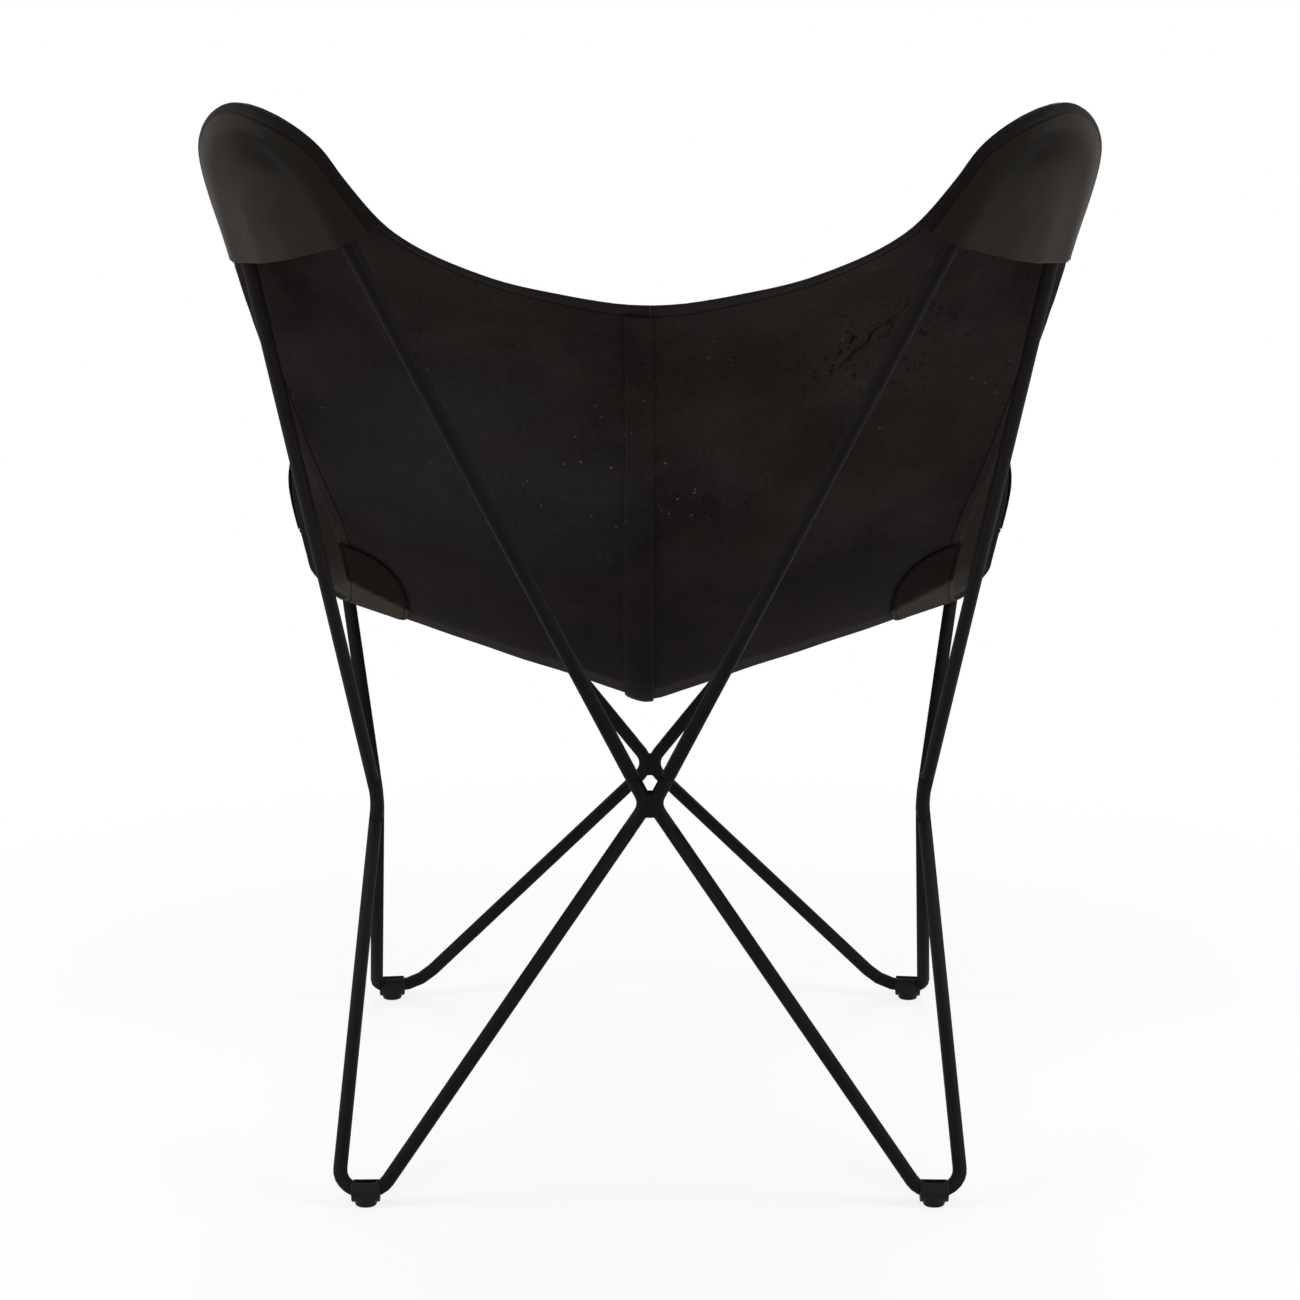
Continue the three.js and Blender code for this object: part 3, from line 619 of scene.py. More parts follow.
def hollow(hoop, places):
    """Share of the hollow where a pocket's leather falls in below the top of the hoop."""
    arm = (places - hoop.centre) / hoop.radius
    across = arm @ hoop.lateral
    up = arm @ hoop.up
    reach = (np.hypot(across, up) - HOLLOW_REACH) / HOLLOW_WIDTH
    turn = (np.arctan2(across, up) - HOLLOW_TURN) / HOLLOW_SPREAD
    return np.exp(-reach ** 2 - turn ** 2)


def pocket_shade(pocket, places):
    """Painted shade on a pocket's leather, in its hollow and towards the chair's middle, where less light
    falls.
    """
    across = (places - pocket.hoop.centre) @ pocket.hoop.lateral / pocket.hoop.radius
    inner = INNER_PAINTED_SHADE * np.clip((INNER_START - across) / INNER_SPAN, 0, 1)
    return pocket.shade * np.clip(hollow(pocket.hoop, places) + inner, 0, 1)


def pocket_dent(pocket, places):
    """Depth of a pocket's hollow, which keeps clear of the rod."""
    clear_of_rod = np.clip((-outside_hoop(pocket.hoop, places) - DENT_MARGIN) / DENT_FADE, 0, 1)
    return pocket.dent * clear_of_rod * hollow(pocket.hoop, places)


def turned_out(places, to_mouth):
    """Places near the free edge moved past it, less towards the mouth, to cover the panel's edge."""
    near = np.clip(1 - edge_distance(places) / TURN_REACH, 0, 1) ** 2
    fade = np.clip(to_mouth / TURN_FADE, 0, 1)
    return places - edge_inward(places) * (near * fade * TURN_OUT)[:, None]


# Meshes

def crowded(count):
    """Shares from 0 to 1 that crowd at both ends, where edges are rounded."""
    ends = np.array(END_STEPS)
    inner = np.linspace(2 * ends[-1] - ends[-2], 1 - 2 * ends[-1] + ends[-2], count)
    return np.concatenate([ends, inner, 1 - ends[::-1]])


def mesh_grid(rows, columns):
    """Two flat arrays with every pairing of row and column values."""
    across, along = np.meshgrid(columns, rows)
    return across.ravel(), along.ravel()


def rounded(distance, thickness, reach=ROUNDING):
    """Half the thickness of a sheet, which thins to a round edge."""
    inside = np.clip(distance / reach, 0, 1)
    return thickness / 2 * np.sqrt(1 - EDGE_THINNING * (1 - inside) ** 2)


def to_frame(places, side):
    """Places of the left half in the shared frame in metres, mirrored for side -1."""
    return (places + np.array((0, REAR_FEET_Y, 0))) * np.array((side, 1, 1)) * MM


def grid_faces(rows, columns, start):
    """Quads of a grid of points that are numbered row by row."""
    corners = np.arange(rows * columns).reshape(rows, columns) + start
    quads = (corners[:-1, :-1], corners[:-1, 1:], corners[1:, 1:], corners[1:, :-1])
    return np.stack([quad.ravel() for quad in quads], axis=1)


def rim_faces(rows, columns):
    """Quads that join the borders of two grids with the same rows and columns."""
    corners = np.arange(rows * columns).reshape(rows, columns)
    border = np.concatenate([corners[0], corners[1:, -1], corners[-1, -2::-1], corners[-2:0:-1, 0]])
    after = np.roll(border, -1)
    other = rows * columns
    return np.stack([border, after, after + other, border + other], axis=1)


def cleaned(mesh):
    """Joins points that coincide and turns all faces out."""
    work = bmesh.new()
    work.from_mesh(mesh)
    bmesh.ops.remove_doubles(work, verts=work.verts, dist=JOIN_DISTANCE)
    bmesh.ops.dissolve_degenerate(work, edges=work.edges, dist=FLAT_DISTANCE)
    bmesh.ops.recalc_face_normals(work, faces=work.faces)
    work.to_mesh(mesh)
    work.free()


def sheet_object(name, grid, side, front, back, values, materials):
    """A closed leather piece between two grids of places, with values stored on its points."""
    rows, columns = (len(line) for line in grid)
    points = to_frame(np.concatenate([front, back]), side)
    faces = np.concatenate([
        grid_faces(rows, columns, 0),
        grid_faces(rows, columns, rows * columns),
        rim_faces(rows, columns),
    ])
    mesh = bpy.data.meshes.new(name)
    mesh.from_pydata(points.tolist(), [], faces.tolist())
    for key, numbers in values.items():
        layer = mesh.attributes.new(key, "FLOAT", "POINT")
        layer.data.foreach_set("value", np.tile(numbers, 2).astype("f"))
    for material in materials:
        mesh.materials.append(material)
    index = np.zeros(len(faces), "i")
    index[:(rows - 1) * (columns - 1)] = len(materials) - 1
    mesh.polygons.foreach_set("material_index", index)
    cleaned(mesh)
    mesh.shade_smooth()
    return shown(bpy.data.objects.new(name, mesh))


def linked(item):
    """Puts an object in the scene."""
    bpy.context.scene.collection.objects.link(item)
    return item


def shown(piece):
    """Puts a piece in the scene and on the chair's body."""
    linked(piece)
    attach(piece, "root")
    return piece


def standing_for(piece, slot, *nodes):
    """The piece is shown in place of CAD nodes, which are hidden; the slot is not used."""
    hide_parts(*nodes)
    return piece


# Materials

def add_node(tree, kind, settings=None, inputs=None):
    """A new node with its settings set first, then its sockets' values or links."""
    made = tree.nodes.new(kind)
    for key, value in (settings or {}).items():
        setattr(made, key, value)
    for key, value in (inputs or {}).items():
        if isinstance(value, Wire):
            tree.links.new(value.socket, made.inputs[key])
        else:
            made.inputs[key].default_value = value
    return made


class Wire:
    """An output socket that can be calculated with."""

    def __init__(self, tree, socket):
        self.tree = tree
        self.socket = socket

    def node(self, kind, settings=None, inputs=None, output=0):
        """The output of any other node in the same tree."""
        return Wire(self.tree, add_node(self.tree, kind, settings, inputs).outputs[output])

    def maths(self, operation, *values):
        """The result of a Math node."""
        return self.node("ShaderNodeMath", {"operation": operation}, dict(enumerate(values)))

    def __add__(self, other):
        return self.maths("ADD", self, other)

    def __radd__(self, other):
        return self.maths("ADD", other, self)

    def __sub__(self, other):
        return self.maths("SUBTRACT", self, other)

    def __rsub__(self, other):
        return self.maths("SUBTRACT", other, self)

    def __mul__(self, other):
        return self.maths("MULTIPLY", self, other)

    def __rmul__(self, other):
        return self.maths("MULTIPLY", other, self)

    def ramp(self, low, high):
        """A smooth rise from 0 at low to 1 at high."""
        settings = {"interpolation_type": "SMOOTHSTEP"}
        inputs = {"Value": self, "From Min": low, "From Max": high}
        return self.node("ShaderNodeMapRange", settings, inputs)

    def near(self, value, width):
        """1 where this is at the value, and 0 from the width on."""
        return 1 - self.maths("ABSOLUTE", self - value).ramp(0, width)

    def within(self, place, near, far):
        """1 within the near distance of a place, and 0 from the far distance on."""
        settings = {"operation": "DISTANCE"}
        away = self.node("ShaderNodeVectorMath", settings, {0: self, 1: place}, "Value")
        return 1 - away.ramp(near, far)

    def height(self):
        """The Z part of this vector."""
        return self.node("ShaderNodeSeparateXYZ", None, {0: self}, "Z")

    def stretched(self, scale, turn):
        """This vector, turned and scaled."""
        inputs = {"Vector": self, "Scale": scale, "Rotation": turn}
        return self.node("ShaderNodeMapping", None, inputs)

    def noise(self, scale, detail=2.0, roughness=0.5):
        """Noise on this vector, with its scale in spots per metre."""
        inputs = {"Vector": self, "Scale": scale, "Detail": detail, "Roughness": roughness}
        return self.node("ShaderNodeTexNoise", None, inputs)

    def cells(self, scale, feature="F1"):
        """Distances in random cells on this vector, with their scale in cells per metre."""
        inputs = {"Vector": self, "Scale": scale}
        return self.node("ShaderNodeTexVoronoi", {"feature": feature}, inputs, "Distance")


class Finish:
    """A material with one shader, and help to fill its sockets."""

    def __init__(self, name, specular):
        self.material = bpy.data.materials.new(name)
        self.material.use_nodes = True
        self.tree = self.material.node_tree
        self.shader = self.tree.nodes["Principled BSDF"]
        self.put("Specular IOR Level", specular)
        self.place = Wire(self.tree, add_node(self.tree, "ShaderNodeTexCoord").outputs["Object"])

    def attribute(self, name):
        """A value that is stored on the piece's points."""
        return self.place.node("ShaderNodeAttribute", {"attribute_name": name}, None, "Fac")

    def mixed(self, share, one, other):
        """A colour between two colours."""
        inputs = {0: share, 6: one, 7: other}
        return self.place.node("ShaderNodeMix", {"data_type": "RGBA"}, inputs, 2)

    def toned(self, share, colour, dark, light):
        """A colour between a darker and a lighter shade of itself."""
        return self.mixed(share, shade(colour, dark), shade(colour, light))

    def put(self, socket, value):
        """Sets one of the shader's sockets to a plain value."""
        self.shader.inputs[socket].default_value = value

    def link(self, socket, wire):
        """Links a wire to one of the shader's sockets."""
        self.tree.links.new(wire.socket, self.shader.inputs[socket])

    def bump(self, height, strength):
        """Links a height in metres as bump."""
        inputs = {"Height": height, "Strength": strength, "Distance": 1.0}
        self.link("Normal", self.place.node("ShaderNodeBump", None, inputs))


def shade(colour, factor):
    """A colour made lighter or darker, with full opacity."""
    return (*(part * factor for part in colour), 1.0)


def paint_material(colour):
    """Matt powder coat with a fine orange-peel surface and slightly duller patches."""
    finish = Finish("matt_powder_coat", specular=0.018)
    patches = finish.place.noise(14, detail=3)
    finish.link("Base Color", finish.toned(patches, colour, dark=0.8, light=1.25))
    finish.link("Roughness", lerp(0.42, 0.62, patches))
    finish.bump(GRIT_RELIEF * finish.place.noise(1400), strength=0.6)
    return finish.material


def plastic_material(colour):
    """Moulded plastic with faint scuffs."""
    finish = Finish("moulded_plastic", specular=0.08)
    scuffs = finish.place.noise(220, detail=4, roughness=0.65)
    finish.link("Base Color", finish.toned(scuffs, colour, dark=0.75, light=1.3))
    finish.link("Roughness", lerp(0.36, 0.58, scuffs))
    finish.bump(SCUFF_RELIEF * scuffs, strength=0.5)
    return finish.material


def thread_material(colour):
    """Waxed thread with a twist."""
    finish = Finish("waxed_thread", specular=0.05)
    twist = finish.place.noise(1800, detail=1)
    finish.link("Base Color", finish.toned(twist, colour, dark=0.7, light=1.4))
    finish.put("Roughness", 0.55)
    finish.bump(TWIST_RELIEF * twist, strength=0.5)
    return finish.material


def grain_material(name, colour, seam_inset, specular):
    """Smooth leather with a fine pebble grain, soft creases and a sewn line along its edge, with painted
    shade in a pocket's hollow and painted light on a patch's band past the fold.
    """
    finish = Finish(name, specular)
    tone = finish.place.noise(26, detail=4, roughness=0.6)
    creases = finish.place.noise(90, detail=3, roughness=0.55)
    pebbles = finish.place.cells(620, "DISTANCE_TO_EDGE")
    edge = finish.attribute("edge")
    seam = edge.near(seam_inset, SEAM_LINE)
    rim = 1 - edge.ramp(seam_inset - RIM_STEP, seam_inset)
    base = finish.toned(tone, colour, dark=0.68, light=1.35)
    base = finish.mixed(0.75 * rim, base, RIM_COLOUR)
    # Painted light: the band value lightens a patch just past the fold, where light from the floor falls
    base = finish.mixed(finish.attribute("band"), base, PAINTED_FOLD_LIGHT_COLOUR)
    # Painted shade: the stored hollow value darkens a pocket in its hollow and towards the chair's
    # middle, where less light falls; the seam line is the seam's own dark colour
    dark = 0.6 * seam + finish.attribute("hollow")
    finish.link("Base Color", finish.mixed(dark, base, shade(colour, 0.25)))
    finish.link("Roughness", lerp(0.4, 0.62, tone))
    relief = PEBBLE_RELIEF * pebbles + CREASE_RELIEF * creases - SEAM_RELIEF * seam
    finish.bump(relief, strength=0.55)
    return finish.material


def scarred_share(place):
    """1 around the scar, and 0 away from it."""
    return place.within(SCAR_PLACE, *SCAR_REACH)


def dark_marks(place):
    """Mask of dark strokes, most of them around the scar, and of the scar's ragged crack."""
    slant = place.stretched((1, 1, 1), (0, SCAR_TURN, 0)).height()
    ragged = slant + SCAR_WOBBLE * place.noise(45, detail=3)
    crack = ragged.near(SCAR_HEIGHT, SCAR_LINE) * place.within(SCAR_PLACE, *CRACK_REACH)
    drawn = place.stretched(STROKE_SCALE, STROKE_TURN)
    strokes = drawn.noise(1, detail=3, roughness=0.6).ramp(0.57, 0.65)
    return crack + strokes * (0.4 * place.noise(6).ramp(0.42, 0.6) + scarred_share(place))


def dark_pits(place):
    """Mask of small pits that lie in groups."""
    return (1 - place.cells(34).ramp(0.04, 0.10)) * place.noise(7, detail=1).ramp(0.5, 0.6)


def pale_marks(place):
    """Mask of pale flecks, most of them in one place, and of thin scratches."""
    flecked = 0.5 * place.noise(16).ramp(0.6, 0.66) + place.within(FLECK_PLACE, *FLECK_REACH)
    flecks = (1 - place.cells(75).ramp(0.07, 0.11)) * flecked
    streaks = place.stretched(STREAK_SCALE, STREAK_TURN).noise(1, detail=1).ramp(0.72, 0.78)
    return 0.8 * flecks + 0.2 * (streaks * place.noise(8).ramp(0.48, 0.6))


def flesh_tones(finish, colour, mottle, fibre):
    """Colour of the flesh side without marks: cloudy, partly warm, hazy in one place, paler at fibres."""
    place = finish.place
    red, green, blue = colour
    warmth = place.noise(5, detail=4, roughness=0.6).ramp(0.4, 0.62)
    haze = place.noise(9, detail=3).ramp(0.3, 0.62) * place.within(HAZE_PLACE, *HAZE_REACH)
    pale = 0.3 * fibre.ramp(0.4, 0.65) + 0.25 * scarred_share(place)
    base = finish.toned(mottle.ramp(0.32, 0.68), colour, dark=0.45, light=1.65)
    base = finish.mixed(0.35 * warmth, base, shade((1.15 * red, green, 0.8 * blue), 1.2))
    base = finish.mixed(0.8 * haze, base, HAZE_COLOUR)
    return finish.mixed(pale, base, shade(colour, 1.9))


def sewn_lines(finish, hem_width):
    """Masks of the turned hem, of the painted light just past the fold, and of the dark lines along the
    hem and the fold, the fold's line being painted shade in its crease.
    """
    edge = finish.attribute("edge")
    fold = finish.attribute("fold")
    return SimpleNamespace(
        hem=1 - edge.ramp(hem_width - HEM_STEP, hem_width),
        hem_line=edge.near(hem_width, HEM_LINE),
        fold_painted_light=fold.ramp(*FOLD_LIGHT_RISE) * (1 - fold.ramp(*FOLD_LIGHT_FADE)),
        fold_crease_and_shade=fold.near(0, FOLD_LINE),
    )


def flesh_material(colour, hem_width):
    """Rough flesh side: mottled, with marks, pits and flecks, a turned hem, painted shade towards the
    bottom, and painted light and shade at the fold.
    """
    finish = Finish("flesh_leather", specular=0.04)
    place = finish.place
    mottle = place.noise(11, detail=6, roughness=0.62)
    fibre = place.noise(380, detail=3, roughness=0.6)
    marks = dark_marks(place)
    pits = dark_pits(place)
    sewn = sewn_lines(finish, hem_width)
    # Painted shade: the back is darker towards the bottom, where less light falls
    low = 1 - place.height().ramp(LOW_SHADE_END, LOW_SHADE_START)
    base = flesh_tones(finish, colour, mottle, fibre)
    # Each mask with its strength, and the shade of the colour that it lays on
    layers = (
        (0.4 * pits + 0.85 * marks, 0.15),
        (pale_marks(place), 9),
        # Painted shade lower down
        (0.5 * low, 0.3),
        (0.4 * sewn.hem, 1.7),
        # Painted light just past the fold, where the leather turns under and catches light from the floor
        (0.5 * sewn.fold_painted_light, 2.2),
        # Dark lines: the hem's seam line, and painted shade in the fold's crease
        (0.85 * (sewn.hem_line + sewn.fold_crease_and_shade), 0.15),
    )
    for share, factor in layers:
        base = finish.mixed(share, base, shade(colour, factor))
    finish.link("Base Color", base)
    finish.link("Roughness", lerp(0.68, 0.9, mottle))
    rough = FIBRE_RELIEF * fibre + MOTTLE_RELIEF * mottle + SWELL_RELIEF * place.noise(30)
    worn = PIT_RELIEF * pits + MARK_RELIEF * marks
    lines = FOLD_RELIEF * sewn.fold_crease_and_shade + SEAM_RELIEF * sewn.hem_line
    finish.bump(rough - worn + HEM_RELIEF * sewn.hem - lines, strength=0.5)
    return finish.material


def shared(name, maker, *values):
    """A material that is made once and then shared."""
    return bpy.data.materials.get(name) or maker(*values)


def flesh_leather(looks):
    """The rough leather of the sling's back."""
    return shared("flesh_leather", flesh_material, tuple(looks.flesh_colour), looks.hem_width)


def grain_leather(name, colour, seam_inset, specular):
    """A smooth leather of its own colour and sheen."""
    return shared(name, grain_material, name, tuple(colour), seam_inset, specular)


# Frame and glides

FRAME_NODES = [
    f"{part}_{side}"
    for part in ("ear_hoop", "knee_hoop", "rear_leg", "front_leg", "side_weld")
    for side in ("left", "right")
] + ["back_weld", "front_weld"]
GLIDE_NODES = [f"{end}_glide_{side}" for end in ("rear", "front") for side in ("left", "right")]


def ends_pushed_out(mesh, reach):
    """Moves the flat ends of a rod outward, into the weld beside them."""
    work = bmesh.new()
    work.from_mesh(mesh)
    sharp = {edge for edge in work.edges if edge.calc_face_angle(0) > END_ANGLE}
    sharp_points = {point for edge in sharp for point in edge.verts}
    ends = [face for face in work.faces if sharp_points.issuperset(face.verts)]
    moves = {point: face.normal * reach for face in ends for point in face.verts}
    for point, move in moves.items():
        point.co += move
    work.to_mesh(mesh)
    work.free()


def evaluated_mesh(piece):
    """The mesh of a piece with its modifiers applied."""
    piece.update_tag()
    graph = bpy.context.evaluated_depsgraph_get()
    return bpy.data.meshes.new_from_object(piece.evaluated_get(graph))


def rounded_copy(mesh):
    """A moulded piece's mesh with all edges softly rounded."""
    piece = linked(bpy.data.objects.new(mesh.name, mesh))
    remesh = piece.modifiers.new("even_grid", "REMESH")
    remesh.mode = "VOXEL"
    remesh.voxel_size = MOULD_GRID
    smooth = piece.modifiers.new("soft_edges", "SMOOTH")
    smooth.iterations = MOULD_SMOOTHING
    made = evaluated_mesh(piece)
    bpy.data.objects.remove(piece)
    return made


def smooth_copy(node, slot, material):
    """A copy of a CAD node with joined points and smooth round sides."""
    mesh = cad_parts[node].data.copy()
    mesh.name = f"smooth_{node}"
    cleaned(mesh)
    if slot == "frame":
        ends_pushed_out(mesh, END_REACH)
    else:
        mesh = rounded_copy(mesh)
    mesh.shade_smooth()
    mesh.set_sharp_from_angle(angle=SHARP_ANGLE)
    mesh.materials.clear()
    mesh.materials.append(material)
    return standing_for(shown(bpy.data.objects.new(f"smooth_{node}", mesh)), slot, node)


class CHAIR_OT_frame(bpy.types.Operator):
    """Paint the rods and welds of the frame"""

    bl_idname = "chair.frame"
    bl_label = "Frame"

    def execute(self, context):
        paint = paint_material(tuple(context.scene.chair_looks.frame_colour))
        for node in FRAME_NODES:
            smooth_copy(node, "frame", paint)
        return {"FINISHED"}


class CHAIR_OT_glides(bpy.types.Operator):
    """Give the four glides their plastic"""

    bl_idname = "chair.glides"
    bl_label = "Glides"

    def execute(self, context):
        plastic = plastic_material(tuple(context.scene.chair_looks.glide_colour))
        for node in GLIDE_NODES:
            smooth_copy(node, "glide", plastic)
        return {"FINISHED"}


# Leather pieces

SIDES = (("left", 1), ("right", -1))


def phase_of(side):
    """Where the waves of a half start, so that the halves differ."""
    return 0.0 if side > 0 else RIGHT_PHASE


def fold_distance(v):
    """Signed distance from the fold at the bottom of the back, measured along the centre seam."""
    steps = np.diff(CENTRE_LINE(np.linspace(0, 1, PATH_POINTS)), axis=0)
    return (v - FOLD_SEAM_SHARE) * lengths(steps).sum()


def panel_piece(name, side, looks):
    """One half of the sling, flesh side behind and grain side in front."""
    grid = (crowded(PANEL_ROWS), crowded(PANEL_COLUMNS))
    u, v = mesh_grid(*grid)
    places, normals = sheet(u, v, phase_of(side))
    at_seam = u == 0
    normals[at_seam, 0] = 0
    normals[at_seam] = unit(normals[at_seam])
    places[at_seam, 0] = SEAM_GAP / 2
    edge = edge_distance(flat_sheet(u, v))
    half = rounded(np.minimum(edge, places[:, 0]), LEATHER_THICKNESS)[:, None] * normals
    values = {"edge": edge * MM, "fold": fold_distance(v) * MM}
    grain = grain_leather("seat_leather", looks.seat_colour, looks.hem_width, specular=0.045)
    materials = [flesh_leather(looks), grain]
    return sheet_object(name, grid, side, places + half, places - half, values, materials)


class CHAIR_OT_panels(bpy.types.Operator):
    """Build both halves of the leather sling"""

    bl_idname = "chair.panels"
    bl_label = "Sling panels"

    def execute(self, context):
        for word, side in SIDES:
            piece = panel_piece(f"leather_panel_{word}", side, context.scene.chair_looks)
            standing_for(piece, "sling", f"sling_panel_{word}")
        return {"FINISHED"}


def seam_places(reach, v):
    """Places and normals at signed distances from the centre seam, left counted as positive."""
    width = lengths(flat_sheet(np.ones_like(v), v) - flat_sheet(np.zeros_like(v), v))
    u = np.abs(reach) / width
    on_right = (reach < 0)[:, None]
    mirror = np.where(on_right, (-1, 1, 1), 1)
    left_places, normals = sheet(u, v, phase_of(1))
    right_places, _ = sheet(u, v, phase_of(-1))
    normals = normals * mirror
    normals[reach == 0, 0] = 0
    return np.where(on_right, right_places, left_places) * mirror, normals


def strip_columns():
    """Signed distances from the centre seam to the strip's lines of points, crowded at its edges."""
    steps = np.array(STRIP_STEPS)
    middle = np.linspace(STRIP_LAP, STRIP_REACH - STRIP_MARGIN, STRIP_COLUMNS)
    return np.unique(np.concatenate([steps - STRIP_LAP, STRIP_REACH - steps, middle]))


def strip_thickness(edge):
    """Thickness of the strip at a distance from its edge."""
    return 2 * rounded(edge, STRIP_THICKNESS, STRIP_ROUNDING)


def strip_piece(looks):
    """The band behind the joint of the halves."""
    grid = (lerp(STRIP_START, STRIP_END, crowded(PANEL_ROWS)), strip_columns())
    reach, v = mesh_grid(*grid)
    places, normals = seam_places(reach, v)
    edge = np.minimum(reach + STRIP_LAP, STRIP_REACH - reach)
    front = places - normals * STRIP_OFFSET
    back = front - normals * strip_thickness(edge)[:, None]
    values = {"edge": np.ones_like(edge), "fold": np.ones_like(edge)}
    return sheet_object("leather_seam_strip", grid, 1, front, back, values, [flesh_leather(looks)])


class CHAIR_OT_strip(bpy.types.Operator):
    """Build the strip behind the centre seam"""

    bl_idname = "chair.strip"
    bl_label = "Seam strip"

    def execute(self, context):
        piece = standing_for(strip_piece(context.scene.chair_looks), "sling", "centre_seam_strip")
        return {"FINISHED"}


def in_plane(hoop, shares):
    """Lateral and up of sheet places in a hoop's plane."""
    arm = flat_sheet(*shares.T) - hoop.centre
    return np.stack([arm @ hoop.lateral, arm @ hoop.up], axis=1)


def ray_lengths(pocket, aim):
    """How far each ray from the lobe's tip runs until it meets the straight mouth."""
    ends = np.stack([pocket.edge_end, pocket.side_end, pocket.tip])
    start, end, tip = in_plane(pocket.hoop, ends)
    mouth = end - start

    def past(places):
        return mouth[0] * (places[:, 1] - start[1]) - mouth[1] * (places[:, 0] - start[0])

    inside = np.sign(past(tip[None]))[0]
    near = np.zeros(len(aim))
    far = near + LONGEST_RAY
    for _ in range(HALVINGS):
        middle = (near + far) / 2
        reached = np.clip(pocket.tip + middle[:, None] * aim, 0, 1)
        within = past(in_plane(pocket.hoop, reached)) * inside > 0
        near = np.where(within, middle, near)
        far = np.where(within, far, middle)
    return near


def pocket_shares(pocket, reach, turn):
    """Sheet shares on rays that fan out from the lobe's tip and end on the straight mouth."""
    aim = lerp(pocket.edge_end, pocket.side_end, turn[:, None]) - pocket.tip
    return np.clip(pocket.tip + (reach * ray_lengths(pocket, aim))[:, None] * aim, 0, 1)


def eased(count):
    """Shares from 0 to 1 that grow slowly at both ends."""
    return (1 - np.cos(np.linspace(0, math.pi, count))) / 2


def pocket_piece(name, pocket, side, looks):
    """A pocket that passes behind the hoop's tip and is open at its straight mouth."""
    fan = np.linspace(0, FAN_END, POCKET_ROWS) ** TIP_CROWDING
    grid = (np.concatenate([fan, MOUTH_STEPS]), eased(POCKET_COLUMNS))
    turn, reach = mesh_grid(*grid)
    places = flat_sheet(*pocket_shares(pocket, reach, turn).T)
    mouth = flat_sheet(*pocket_shares(pocket, np.ones_like(reach), turn).T)
    to_mouth = lengths(mouth - places)
    edge = edge_distance(places)
    middle = pocket_offset(pocket, places) - POCKET_THICKNESS / 2
    half = rounded(np.minimum(edge, to_mouth), POCKET_THICKNESS)
    outer = turned_out(places, to_mouth)
    front = outer + np.outer(middle + half, pocket.hoop.front)
    back = outer + np.outer(middle - half, pocket.hoop.front)
    # The hollow value is the painted shade of the pocket's leather
    values = {"edge": edge * MM, "hollow": pocket_shade(pocket, places)}
    inset = looks.pocket_stitch_inset
    leather = grain_leather("pocket_leather", looks.pocket_colour, inset, specular=0.03)
    return sheet_object(name, grid, side, front, back, values, [leather])


class CHAIR_OT_pockets(bpy.types.Operator):
    """Build the ear and knee pockets"""

    bl_idname = "chair.pockets"
    bl_label = "Pockets"

    def execute(self, context):
        looks = context.scene.chair_looks
        for part, pocket in (("ear", EAR_POCKET), ("knee", KNEE_POCKET)):
            for word, side in SIDES:
                piece = pocket_piece(f"leather_{part}_pocket_{word}", pocket, side, looks)
                standing_for(piece, "pocket", f"{part}_pocket_{word}")
        return {"FINISHED"}


def patch_shares(across, along):
    """Sheet shares of a corner patch, a rounded shape on the sling's side edge."""
    v = lerp(PATCH_START, PATCH_END, along)
    round_share = (1 - np.abs(2 * along - 1) ** PATCH_SQUARENESS) ** (1 / PATCH_SQUARENESS)
    return 1 - across * PATCH_ACROSS * round_share, v


def patch_piece(name, side, looks):
    """A rounded piece sewn flat under the lower corner of the back."""
    grid = (crowded(POCKET_ROWS), eased(POCKET_COLUMNS))
    along, across = mesh_grid(*grid)
    u, v = patch_shares(across, along)
    places, normals = sheet(u, v, phase_of(side))
    flat_places = flat_sheet(u, v)
    rim = flat_sheet(*patch_shares(np.ones_like(along), along))
    edge = np.minimum(edge_distance(flat_places), lengths(rim - flat_places))
    middle = PATCH_OFFSET + POCKET_THICKNESS / 2
    half = rounded(edge, POCKET_THICKNESS)
    front = places - normals * (middle - half)[:, None]
    back = places - normals * (middle + half)[:, None]
    # The band value is painted light just past the fold
    light_start = FOLD_SEAM_SHARE - lerp(PATCH_LIGHT_OUTER, PATCH_LIGHT_INNER, across)
    values = {"edge": edge * MM, "band": np.clip((v - light_start) / PATCH_LIGHT_STEP, 0, 1)}
    leather = grain_leather("patch_leather", looks.patch_colour, PATCH_STITCH_INSET * MM, specular=0)
    return sheet_object(name, grid, side, front, back, values, [leather])


class CHAIR_OT_patches(bpy.types.Operator):
    """Build the corner patches"""

    bl_idname = "chair.patches"
    bl_label = "Corner patches"

    def execute(self, context):
        for word, side in SIDES:
            piece = patch_piece(f"leather_corner_patch_{word}", side, context.scene.chair_looks)
            standing_for(piece, "pocket", f"corner_patch_{word}")
        return {"FINISHED"}


# Stitches

def inset_line(start, end, inset, points=PATH_POINTS):
    """Places and normals along a stretch of the free edge, at an inset in metres."""
    return inset_places(np.linspace(start, end, points), inset / MM)


